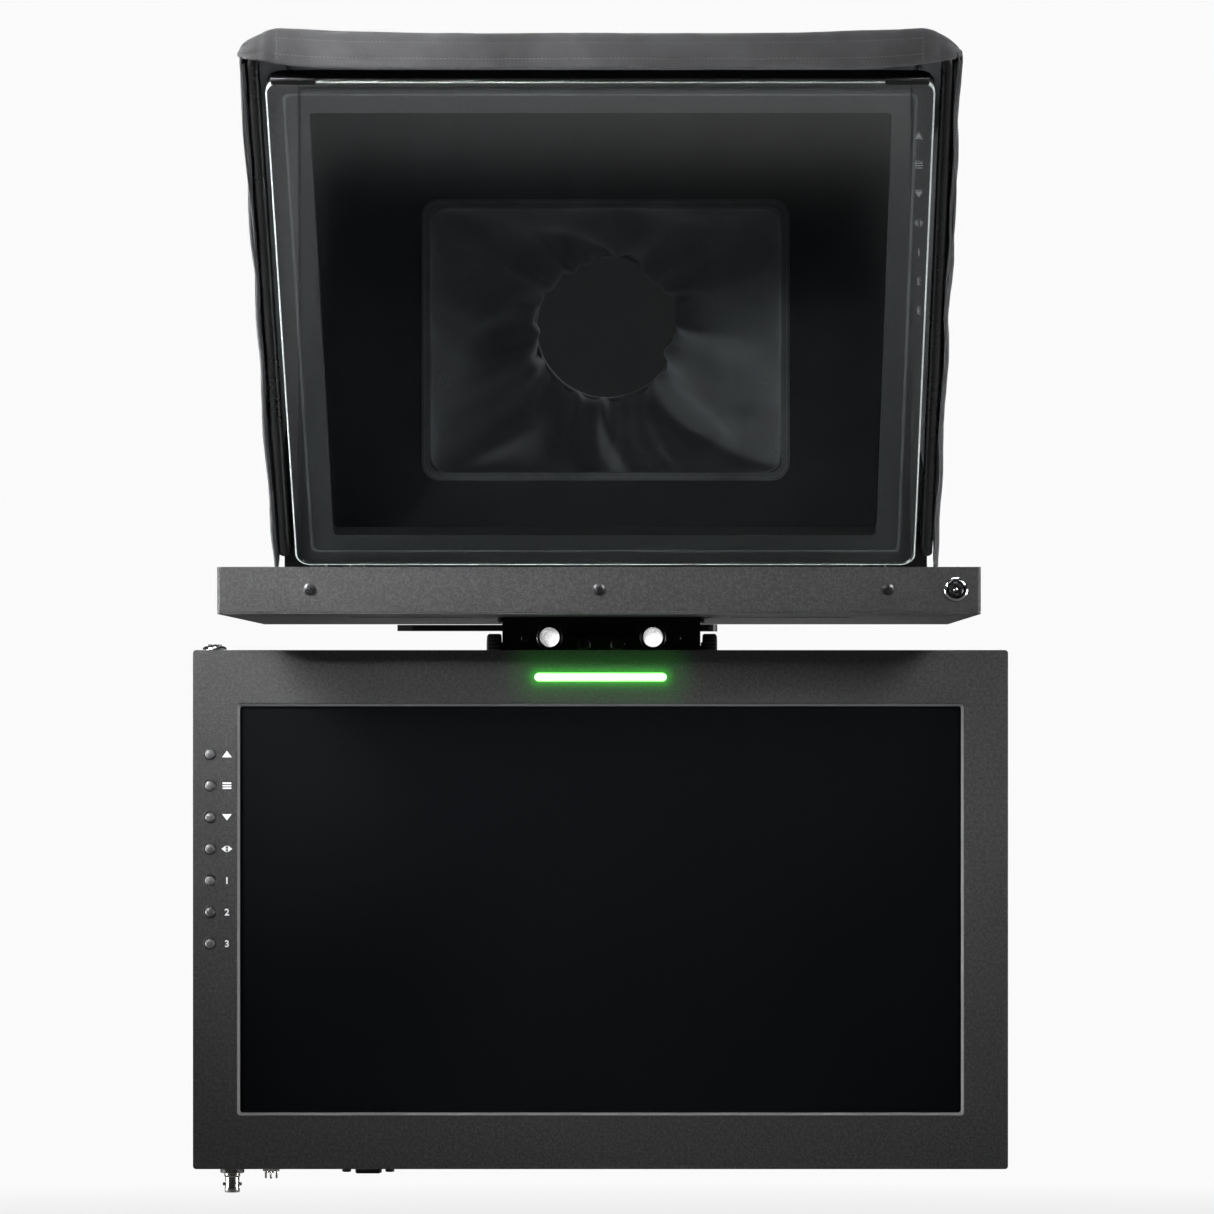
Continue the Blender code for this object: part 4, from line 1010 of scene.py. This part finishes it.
def base_details():
    """The base plate's rubber strips, its rod clamp screws, and the camera screw."""
    low, high = node_box("base_plate")
    strips = []
    for side in (-1, 1):
        x0, x1 = sorted((side * 12.0, side * 46.0))
        rows = []
        count = 48
        for i in range(count + 1):
            y = low.y + 6.0 + (high.y - low.y - 12.0) * i / count
            z = high.z + (1.5 if i % 2 else 1.0)
            rows.append([(x0, y, high.z - 0.05), (x1, y, high.z - 0.05), (x1, y, z), (x0, y, z)])
        strips.append(loft(rows))
    add("base_rubber_strips", together(strips), "rubber", "base")
    screws = []
    for side in (-1, 1):
        for y in (low.y + 18.0, high.y - 18.0):
            at = (side * high.x, y, 21.5)
            screws.append(moved(socket_screw(4.6, 2.6, 4.0), along((side, 0, 0), at)))
    add("base_clamp_screws", together(screws), "black_steel", "base")
    screw_low, screw_high = node_box("camera_screw")
    centre = (screw_low + screw_high) / 2
    threads = thread_stations(4.7, high.z - 12.0, screw_high.z - 0.6, 1.4, 0.6)
    shank = turned([(8.6, screw_low.z), (4.7, screw_low.z + 8.7), *threads,
                    (3.6, screw_high.z)], 36)
    head = grip([(7.6, 3.0), (8.6, 3.3), (9.0, 3.9), (9.0, 10.8), (8.6, 11.5), (4.7, 11.7)],
                ribbed(36, 0.06), 3.5)
    slot = box((-6.5, -0.9, 2.4), (6.5, 0.9, 3.05))
    seat = shift(centre.x, centre.y, 0.0)
    solid = moved(together([shank, head, slot]), seat)
    add("camera_screw_turned", solid, "steel", "camera_screw",
        replaces=["camera_screw"])


# ---------------------------------------------------------------- glass and its frame


def glass_to_world():
    """Local X across, Y up the glass from the hinge, Z out of its front face."""
    return (shift(0.0, HINGE.y, HINGE.z) @ Matrix.Rotation(math.pi / 2, 4, "X")
            @ Matrix.Rotation(math.pi / 2 - GLASS_LEAN, 4, "X"))


def local_box(node, to_world):
    """Lowest and highest corner of a CAD node in other axes."""
    inverse = to_world.inverted()
    points = [inverse @ (vertex.co / MM) for vertex in FRAME["nodes"][node].data.vertices]
    return [Vector([pick(point[i] for point in points) for i in range(3)]) for pick in (min, max)]


def glass_details():
    """The coated glass with its ground rim, the corner clips and the foam seal behind it."""
    to_world = glass_to_world()
    low, high = local_box("beam_splitter_glass", to_world)
    width, length = high.x - low.x, high.y - low.y
    middle = (low.y + high.y) / 2

    def outline(inset):
        return rounded(width - 2 * inset, length - 2 * inset, 9.0 - inset, 10, (0.0, middle))

    sheet = loft([lift(outline(0.9), low.z + 0.15), lift(outline(0.9), high.z - 0.1)])
    add("coated_glass", moved(sheet, to_world), "mirror_glass", "glass",
        replaces=["beam_splitter_glass"])
    rim = loft([lift(outline(inset), z) for inset, z in (
        (0.85, low.z), (0.25, low.z), (0.0, low.z + 0.3),
        (0.0, high.z - 0.3), (0.25, high.z), (0.85, high.z))], ring=True)
    add("glass_ground_rim", moved(rim, to_world), "glass_edge", "glass")
    clips = []
    for side in (-1, 1):
        x0, x1 = sorted((side * (width / 2 - 3.5), side * (width / 2 - 29.0)))
        top, back, front = high.y, low.z - 1.2, high.z + 0.15
        section = [(top - 1.6, front), (top - 1.6, front + 0.6), (top + 1.4, front + 0.6),
                   (top + 2.6, front - 0.4), (top + 2.6, back - 1.2), (top + 1.4, back - 1.2),
                   (top + 1.4, front - 0.8), (top + 0.3, front)]
        clips.append(loft([[(x, u, w) for u, w in section] for x in (x0, x1)]))
    add("glass_corner_clips", moved(together(clips), to_world), "black_steel", "glass",
        bevel=0.25)

    def loop(inset, z):
        return lift(rounded(width - 2 * inset, length - 2 * inset, 4.0, 6, (0.0, middle)), z)

    seal = loft([loop(9.6, low.z - 0.28), loop(11.4, low.z - 0.28), loop(11.2, low.z - 0.02),
                 loop(9.8, low.z - 0.02)], ring=True)
    add("glass_seal", moved(seal, to_world), "seal", "glass")


# ---------------------------------------------------------------- hood


def bow_tube():
    """The bent tube round the hood's mouth, in place of the faceted one."""
    to_world = glass_to_world()
    low, high = local_box("hood_front_bow", to_world)
    radius = 4.0
    half, top, bottom = high.x - radius, high.y - radius, low.y
    depth, bend = high.z - radius, 14.0
    path = [(-half, bottom), (-half, bottom + 1.0)]
    path += [(-half, bottom + (top - bend - bottom) * i / 8) for i in range(1, 8)]
    path += [(-half + bend * (1 - math.cos(a)), top - bend * (1 - math.sin(a)))
             for a in [math.pi / 2 * i / 10 for i in range(11)]]
    path += [(0.0, top)] + [(-x, u) for x, u in reversed(path)]
    sections = []
    for i, (x, u) in enumerate(path):
        ahead = Vector(path[min(i + 1, len(path) - 1)]) - Vector(path[max(i - 1, 0)])
        way = Vector((-ahead.y, ahead.x)).normalized()
        sections.append([(x + way.x * a, u + way.y * a, depth + b)
                         for a, b in circle(radius, 24)])
    add("bow_tube", moved(loft(sections), to_world), "rod_coat", "glass",
        replaces=["hood_front_bow"])


def front_y(z):
    """The y of the hood side's leaning front edge at a height."""
    tucked = SIDE_TUCK * (1.0 - ease((z - HINGE.z) / TUCK_HEIGHT))
    return HINGE.y - (z - HINGE.z) - 2 * EDGE_PROUD * math.sin(GLASS_LEAN) + tucked


def band_path(distance):
    """A point (x, y) on the front band in plan, and the way out of the hood there."""
    side = math.copysign(1.0, distance)
    along_it = abs(distance)
    quarter = BAND_CORNER * math.pi / 2
    front = HOOD_LOW.y + 1.0
    if along_it <= SEAM_X:
        return Vector((distance, front)), Vector((0.0, -1.0))
    if along_it <= SEAM_X + quarter:
        turn = (along_it - SEAM_X) / BAND_CORNER
        at = Vector((side * (SEAM_X + BAND_CORNER * math.sin(turn)),
                     front + BAND_CORNER * (1 - math.cos(turn))))
        return at, Vector((side * math.sin(turn), -math.cos(turn)))
    rest = along_it - SEAM_X - quarter
    at = Vector((side * (SEAM_X + BAND_CORNER), front + BAND_CORNER + rest))
    return at, Vector((side, 0.0))


def band_heights(distance):
    """The band's lower and upper edge: it droops in the middle and rounds off at the corners."""
    along_it = abs(distance)
    share = min(1.0, along_it / SEAM_X)
    top = HOOD_HIGH.z - 3.2 * (1 - share ** 3)
    bottom = HOOD_HIGH.z - 21.8 + 3.8 * share ** 8
    past = max(0.0, along_it - SEAM_X + 5.0)
    turn = min(1.0, past / 30.0)
    top -= 12.5 * turn ** 1.15
    bottom += 4.0 * turn ** 1.5
    top += 0.5 * ripple((distance, 0.0, 0.0), 40.0, 2.3)
    bottom += 0.7 * ripple((distance, 9.0, 0.0), 30.0, 5.1)
    return bottom, top


def band_point(distance, share, out=0.0):
    """A point on the band's face, share of its height up, out from the face by a distance."""
    at, way = band_path(distance)
    bottom, top = band_heights(distance)
    z = bottom + (top - bottom) * share
    pillow = 1.3 * math.sin(math.pi * min(1.0, max(0.0, share))) ** 0.7
    for seam in (0.24, 0.72):
        pillow -= 0.55 * math.exp(-((share - seam) / 0.045) ** 2)
    from_seam = abs(distance) - SEAM_X
    pillow -= 0.9 * math.exp(-((from_seam + 4.0) / 1.0) ** 2)
    pillow += 0.7 * math.exp(-((from_seam - 1.0) / 1.3) ** 2)
    pillow -= 0.8 * math.exp(-((from_seam - 4.2) / 1.2) ** 2)
    skew = Vector((distance + 0.8 * z, z * 0.4, 0.0))
    pillow += 1.3 * ripple(skew, 12.0, 4.0) + 1.5 * ripple(skew, 27.0, 7.7)
    past = max(0.0, from_seam)
    crease = (share - 0.35 + 0.02 * past) / 0.1
    pillow -= 1.2 * min(1.0, past / 6.0) * math.exp(-crease ** 2)
    pillow += 1.2 * math.sin(min(1.0, past / 30.0) * math.pi) * (1 - share) ** 2
    reach = pillow + out
    return Vector((at.x + way.x * reach, at.y + way.y * reach, z))


def hood_band():
    """The front band, folded over the bow, with two rows of stitches and a seam at each end."""
    end = SEAM_X + BAND_CORNER * math.pi / 2 + BAND_TAIL
    steps = 230
    rows = []
    for i in range(steps + 1):
        distance = -end + 2 * end * i / steps
        row = [band_point(distance, 0.94, -10.0), band_point(distance, 1.005, -5.5),
               band_point(distance, 1.02, -1.6)]
        row += [band_point(distance, 1.0 - k / 12) for k in range(0, 13)]
        row += [band_point(distance, -0.05, -1.0), band_point(distance, -0.03, -2.8),
                band_point(distance, 0.12, -4.2), band_point(distance, 0.3, -4.6)]
        rows.append(row)
    thread = []
    reach = SEAM_X - 4.0
    for share in (0.24, 0.72):
        path = [band_point(-reach + 2 * reach * i / 380, share, 0.66) for i in range(381)]
        thread.append(stitches(path, Vector((0, -1, 0))))
    for distance in (-reach + 1.6, reach - 1.6):
        path = [band_point(distance, 0.06 + 0.88 * i / 20, 0.56) for i in range(21)]
        thread.append(stitches(path, Vector((0, -1, 0))))
    add("hood_band_stitches", together(thread), "thread", "glass")
    cloth("hood_front_band", net(rows), "hood_cloth", 0.9,
          body="glass")


def hood_top():
    """The top of the hood: slack between the bow and the rear board."""
    rows = []
    across, deep = 44, 34
    front, rear = HOOD_LOW.y + 5.0, HOOD_HIGH.y
    for j in range(deep + 1):
        share = j / deep
        y = front + (rear - front) * share
        row = []
        for i in range(across + 1):
            side = 2 * i / across - 1
            x = side * SEAM_X
            _, band_top = band_heights(x)
            edge = band_top * (1 - share) + (HOOD_HIGH.z - 1.0) * share
            slack = math.sin(math.pi * share) ** 0.8 * (1 - abs(side) ** 3)
            z = edge - 1.2 - 9.0 * slack
            z += 1.8 * slack * ripple((x, 0.35 * y, 0.0), 60.0, 3.0)
            z += 0.9 * ripple((x + y, 0.2 * (x - y), 0.0), 26.0, 8.0) * math.sin(math.pi * share)
            row.append((x, y, z))
        rows.append(row)
    cloth("hood_top", net(rows), "hood_cloth", 1.0,
          between=("glass", "hood_rear", (0, HOOD_LOW.y, HOOD_HIGH.z), (0, -145.0, HOOD_HIGH.z)),
          replaces=["hood_fabric"])


def side_profile(side, steps_round=8, steps_down=40):
    """(x, z, share of the way down) along the hood's side, from the top seam to its hem."""
    radius = HOOD_HIGH.x - SEAM_X
    points = []
    for i in range(steps_round):
        turn = math.pi / 2 * i / steps_round
        tight = 1.0 - 0.16 * math.sin(2 * turn)
        points.append((side * (SEAM_X + radius * math.sin(turn) * tight),
                       HOOD_HIGH.z - 1.0 - radius * (1 - math.cos(turn) * tight), 0.0))
    top, bottom = HOOD_HIGH.z - 1.0 - radius, HOOD_LOW.z
    for i in range(steps_down + 1):
        share = i / steps_down
        points.append((side * HOOD_HIGH.x, top + (bottom - top) * share, share))
    return points


def side_y(z, share):
    """From the leaning front edge to the rear board."""
    front = max(front_y(z), HOOD_LOW.y + 6.0)
    return front + (HOOD_HIGH.y - front) * share


def hood_side(label, side, fold):
    """A side of the hood, which creases inwards where the real hood folds when its glass goes down."""
    rows = []
    deep = 26
    for x, z, down in side_profile(side):
        row = []
        for i in range(deep + 1):
            share = i / deep
            y = side_y(z, share)
            width = HOOD_HIGH.y - side_y(z, 0.0)
            slack = math.sin(math.pi * share) ** 1.4 * ease(width / 160.0) * ease(down * 4.0)
            inward = fold * slack
            inward += 1.3 * ripple((0.0, 0.7 * y, 0.35 * z), 34.0, 3.0 + side)
            inward += 1.6 * slack * ripple((0.0, y + z, 0.4 * (z - y)), 46.0, 6.0 + side)
            inward += 1.1 * (1 - share) ** 4 * math.sin(z / 17.0 + 1.3 * side)
            inward = max(inward, -1.2)
            row.append((x - side * inward * ease(down * 8.0 + 0.25), y, z))
        rows.append(row)
    low, high = blend_span(220.0)
    cloth(f"hood_side_{label}", net(rows), "hood_cloth", 1.0,
          between=("glass", "hood_rear", low, high))


def blend_span(radius):
    """Points on the glass's plane and on the rear board's, a radius from the hinge."""
    lean = radius * math.sin(GLASS_LEAN)
    return (0.0, HINGE.y - lean, HINGE.z + lean), (0.0, HINGE.y, HINGE.z + radius)


def hood_hem(label, side):
    """The doubled, stitched edge of a side, which is laced to the bow."""
    to_world = glass_to_world()
    length = 401.0
    steps = 110
    sections = []
    path = []
    for i in range(steps + 1):
        u = 6.0 + (length - 6.0) * i / steps
        wave = ripple((u, 0.0, side * 30.0), 38.0, 2.0) + 0.5 * math.sin(u / 13.0 + side)
        centre = HOOD_HIGH.x - 0.3 + wave
        thick = 1.5 + 0.35 * ripple((u, 20.0, 0.0), 12.0, 4.0)
        lead = EDGE_PROUD + 0.8 * ripple((u, 40.0, 0.0), 25.0, side + 3.0)
        deep = 5.0 + 2.0 * ease(u / 130.0) + 3.5 * (1.0 - ease(u / 90.0))
        section = []
        for k in range(12):
            turn = 2 * math.pi * k / 12
            c, s = math.cos(turn), math.sin(turn)
            section.append((side * (centre + thick * math.copysign(abs(c) ** 0.7, c)), u,
                            lead - deep + deep * math.copysign(abs(s) ** 0.55, s)))
        sections.append(section)
        path.append(to_world @ Vector((side * (centre + thick + 0.05), u, lead - 1.5 * deep)))
    thread = stitches(path[2:-2], Vector((side, 0, 0)))
    add(f"hood_hem_stitches_{label}", thread, "thread", "glass")
    hem = as_object(f"hood_hem_{label}", moved(loft(sections), to_world), LOOKS["binding"], 80.0)
    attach(hem, "glass")


def strip_loop(inner, outer, y0, y1):
    """A flat frame between an inner and an outer outline of (x, z) points."""
    def at(outline, y):
        return [(x, y, z) for x, z in outline]

    return loft([at(inner, y0), at(outer, y0), at(outer, y1), at(inner, y1)], ring=True)


def rear_board_trim():
    """Tape round the board's opening, and the binding that holds the cloth to its edge."""
    front, back = node_front("hood_rear_panel"), PANEL_HIGH.y

    def around(wider, radius):
        return rounded(APERTURE_WIDE + wider, APERTURE_HIGH + wider, radius, 8,
                       (0.0, APERTURE_Z))

    tape = strip_loop(around(-1.0, 7.5), around(9.0, 11.0), front - 0.9, front + 0.1)
    path = [Vector((x, front - 1.0, z)) for x, z in around(5.0, 9.5)]
    path.append(path[0])
    add("aperture_tape", tape, "binding", "hood_rear", bevel=0.3)
    add("aperture_stitches", stitches(path, Vector((0, -1, 0))), "thread", "hood_rear")
    sections = []
    half, top, bottom = HOOD_HIGH.x - 2.2, HOOD_HIGH.z - 2.4, PANEL_LOW.z + 75.0
    corner = 10.0
    path = [(-half, bottom), (-half, top - corner)]
    path += [(-half + corner * (1 - math.cos(a)), top - corner * (1 - math.sin(a)))
             for a in [math.pi / 2 * i / 6 for i in range(1, 7)]]
    path += [(-x, z) for x, z in reversed(path)]
    fine = resample([Vector((x, 0.0, z)) for x, z in path], 7.0)
    for i, at in enumerate(fine):
        ahead = fine[min(i + 1, len(fine) - 1)] - fine[max(i - 1, 0)]
        way = Vector((-ahead.z, 0.0, ahead.x)).normalized()
        lump = 0.3 * ripple(at, 16.0, 9.0)
        section = [(-1.4, back - 3.0), (2.2 + lump, back - 6.5), (3.2 + lump, back - 4.0),
                   (3.2 + lump, back + 1.6), (2.4 + lump, back + 2.4), (-8.0, back + 1.3),
                   (-8.4, back + 0.4), (-1.4, back + 0.2)]
        sections.append([(at.x + way.x * out, y, at.z + way.z * out) for out, y in section])
    add("hood_rear_binding", loft(sections), "binding", "hood_rear")


def node_front(node):
    """The y of a CAD node's largest flat face that looks forwards."""
    mesh = FRAME["nodes"][node].data
    counts = {}
    for polygon in mesh.polygons:
        if polygon.normal.y < -0.99:
            y = round(polygon.center.y / MM, 2)
            counts[y] = counts.get(y, 0.0) + polygon.area
    return max(counts, key=counts.get)


def resample(points, step):
    """The same line with points about a step apart."""
    out = [points[0]]
    for here, there in zip(points, points[1:]):
        count = max(1, round((there - here).length / step))
        out += [here.lerp(there, (i + 1) / count) for i in range(count)]
    return out


def evenly(outline, count):
    """The points of an outline round the origin at equal turns, from local +X."""
    points = []
    for i in range(count):
        turn = 2 * math.pi * i / count
        way = Vector((math.cos(turn), math.sin(turn)))
        for here, there in zip(outline, outline[1:] + outline[:1]):
            a, b = Vector(here), Vector(there)
            across = way.cross(b - a)
            if abs(across) < 1e-9:
                continue
            reach, share = a.cross(b - a) / across, a.cross(way) / across
            if reach > 0 and -1e-6 <= share <= 1 + 1e-6:
                points.append(tuple(way * reach))
                break
    return points


def lens_sleeve():
    """The cloth sleeve from the board's opening to its elastic mouth, slack and folded."""
    start = PANEL_HIGH.y - 1.2
    end = SLEEVE_HIGH.y - 5.0
    around, deep = 120, 30
    opening = evenly(rounded(APERTURE_WIDE - 1.0, APERTURE_HIGH - 1.0, 8.0), around)
    rows = []
    for j in range(deep + 1):
        share = j / deep
        row = []
        for i in range(around):
            turn = 2 * math.pi * i / around
            c, s = math.cos(turn), math.sin(turn)
            flat_x, flat_z = opening[i]
            closing = ease(share * 1.05) ** 0.85
            middle_z = APERTURE_Z * (1 - closing) + MOUTH_Z * closing
            slack = math.sin(math.pi * share)
            pleat = 3.4 * ease(share * 1.5 - 0.3) * (1 - 0.5 * share)
            swell = pleat * (0.6 * math.sin(17 * turn + 1.3 * math.sin(3 * turn))
                             + 0.4 * math.sin(29 * turn + 0.8))
            swell += 14.0 * slack * ripple((c * 40.0, 26.0 * share, s * 40.0), 24.0, 5.0)
            swell += 6.0 * slack * math.sin(5 * turn + 7.0 * share + 0.6)
            swell += 4.5 * slack * math.sin(9 * turn - 5.0 * share + 2.0 * math.sin(2 * turn))
            sag = -13.0 * slack * max(0.0, -s) ** 1.5 - 4.0 * slack
            reach = MOUTH_RADIUS * closing + swell
            x = flat_x * (1 - closing) + c * reach
            z = middle_z + flat_z * (1 - closing) + s * reach + sag
            y = start + (end - start) * share
            y += 9.0 * slack * ripple((c * 50.0, 0.0, s * 50.0), 26.0, 11.0)
            wander = 2.4 * ripple((c * 30.0, 30.0 * share, s * 30.0), 25.0, 2.0)
            fold = (1.0 - abs(math.sin(6.5 * turn + wander))) ** 1.6
            y -= 15.0 * slack * fold * (0.55 + 0.45 * ripple((c * 20.0, 0.0, s * 20.0), 9.0, 6.0))
            row.append((x, min(y, end), z))
        rows.append(row)
    cloth("lens_sleeve_cloth", net(rows, ring=True), "sleeve_cloth", 0.9,
          body="hood_rear",
          replaces=["lens_sleeve"])
    sections = []
    for i in range(180):
        turn = 2 * math.pi * i / 180
        gather = 0.5 + 0.5 * math.sin(34 * turn + 1.5 * math.sin(5 * turn))
        tube = 2.2 + 0.7 * gather
        ring = MOUTH_RADIUS + 0.6 + 0.8 * gather
        section = []
        for k in range(10):
            a = 2 * math.pi * k / 10
            r = ring + tube * math.cos(a)
            section.append((r * math.cos(turn), end + 1.0 + 1.25 * tube * math.sin(a),
                            MOUTH_Z + r * math.sin(turn)))
        sections.append(section)
    add("lens_sleeve_elastic", loft(sections, ring=True), "binding", "hood_rear")


def hinge_details():
    """Screws on the hinges' feet, and a washer on each pin."""
    screws, washers = [], []
    for label, side in (("left", -1), ("right", 1)):
        low, high = node_box(f"glass_hinge_{label}")
        for x in (low.x + 7.0, high.x - 6.0):
            at = (x, high.y - 8.0, low.z + 2.4)
            screws.append(moved(cross_screw(2.5, 1.0, 0.7), Matrix.Translation(at)))
        out = high.x if side > 0 else low.x
        washer = turned([(0.4, 0.0), (3.6, 0.0), (4.2, 0.35), (4.2, 1.0), (3.8, 1.3), (0.4, 1.5)],
                        28)
        washers.append(moved(washer, along((side, 0, 0), (out - side * 0.1, HINGE.y, HINGE.z))))
    add("hinge_screws", together(screws), "black_steel", "head")
    add("hinge_pin_caps", together(washers), "steel", "head")


# ---------------------------------------------------------------- floor, lights and camera


def stage():
    """A round pale floor that fades into the background's white, and soft lamps."""
    floor = as_object("studio_floor", prism(circle(9000.0, 96), -620.0, -600.0), floor_look())
    world = bpy.data.worlds.new("studio")
    bpy.context.scene.world = world
    world.use_nodes = True
    tree = world.node_tree
    shade = tree.nodes["Background"]
    path = tree.nodes.new("ShaderNodeLightPath")
    level = tree.nodes.new("ShaderNodeMapRange")
    level.inputs["To Min"].default_value = WORLD_LIGHT
    level.inputs["To Max"].default_value = BACKDROP
    tree.links.new(path.outputs["Is Camera Ray"], level.inputs["Value"])
    tree.links.new(level.outputs["Result"], shade.inputs["Strength"])
    shade.inputs["Color"].default_value = (1.0, 1.0, 1.0, 1.0)
    lamp("key", (-640, -840, 470), (-230, -440, 120), 420, 1.9, 36.0)
    lamp("right_key", (900, -1300, 600), (250, -440, 70), 500, 0.6, 19.0)
    lamp("front", (-700, -3000, 1300), (0, -400, 150), 1200, 3.0)
    lamp("left_side", (-1500, -480, -260), (-150, -430, -100), 600, 30.0)
    lamp("right_side", (1500, -560, -260), (150, -430, -100), 600, 22.0)
    lamp("hood", (420, -1900, 1000), (0, -450, 440), 700, 0.4, 13.0)
    lamp("sleeve", (-1450, -2500, 1000), (30, -120, 200), 500, 1.3, 10.0)
    lamp("top", (100, -300, 2000), (0, -250, 0), 1300, 40.0)
    lamp("rear", (900, 2000, 1200), (0, -100, 50), 1300, 60.0)
    lamp("behind_rods", (0, 2600, 21.5), (0, 0, 21.5), 700, 3.0)


def floor_look():
    graph = Graph("pale floor", roughness=0.75)
    tone = graph.noise(2.5, 3.0, 0.5)
    graph.tint(tone, 0.3, 0.7, (0.80, 0.80, 0.80), (0.84, 0.84, 0.84))
    parts = graph.parts()
    far = graph.span(graph.length(parts["X"], parts["Y"]), 0.7, 3.2)
    seen = graph.node("LightPath").outputs["Is Camera Ray"]
    light = graph.node("Emission", Color=(1.0, 1.0, 1.0), Strength=BACKDROP)
    dim = graph.node("BsdfDiffuse", Color=(0.12, 0.12, 0.12))
    shown = graph.mix_shaders(far, graph.shader.outputs[0], light.outputs[0])
    graph.show(graph.mix_shaders(seen, dim.outputs[0], shown))
    return graph.material


def lamp(name, at, towards, size, watts, spread=180.0):
    """A round soft lamp in watts, aimed at a point, with its beam's spread in degrees."""
    data = bpy.data.lights.new(name, "AREA")
    data.spread = math.radians(spread)
    data.shape = "DISK"
    data.size = size * MM
    data.energy = watts
    obj = bpy.data.objects.new(name, data)
    bpy.context.collection.objects.link(obj)
    obj.location = Vector(at) * MM
    obj.rotation_euler = (Vector(towards) - Vector(at)).to_track_quat("-Z", "Y").to_euler()
    obj.visible_camera = False
    obj.visible_transmission = False


def camera():
    """A long lens level with the gap between the monitors, square to the object."""
    data = bpy.data.cameras.new("camera")
    data.sensor_width = 36.0
    data.lens = 163.72
    data.shift_x = -0.0494
    data.shift_y = 0.0865
    data.clip_end = 60.0
    obj = bpy.data.objects.new("camera", data)
    bpy.context.collection.objects.link(obj)
    obj.location = (0.0381, -3.603, -0.0219)
    obj.rotation_euler = (math.pi / 2, 0.0, 0.0)
    bpy.context.scene.camera = obj


# ---------------------------------------------------------------- the whole scene


bpy.context.scene.view_settings.view_transform = "Standard"
LOOKS = make_looks()
camera()
stage()
dress_nodes()
TALENT, PROMPTER = monitor_faces()
for monitor in (TALENT, PROMPTER):
    push_buttons(monitor)
    button_signs(monitor)
    sockets(monitor)
power_switch(TALENT, (0, 0, 1))
power_switch(PROMPTER, (0, -1, 0))
case_screws(PROMPTER)
cover_screws(TALENT)
knobs()
rod_tubes()
carriage_details()
base_details()
glass_details()
bow_tube()
hinge_details()
hood_band()
hood_top()
hood_side("left", -1, fold=12.0)
hood_side("right", 1, fold=22.0)
hood_hem("left", -1)
hood_hem("right", 1)
rear_board_trim()
lens_sleeve()
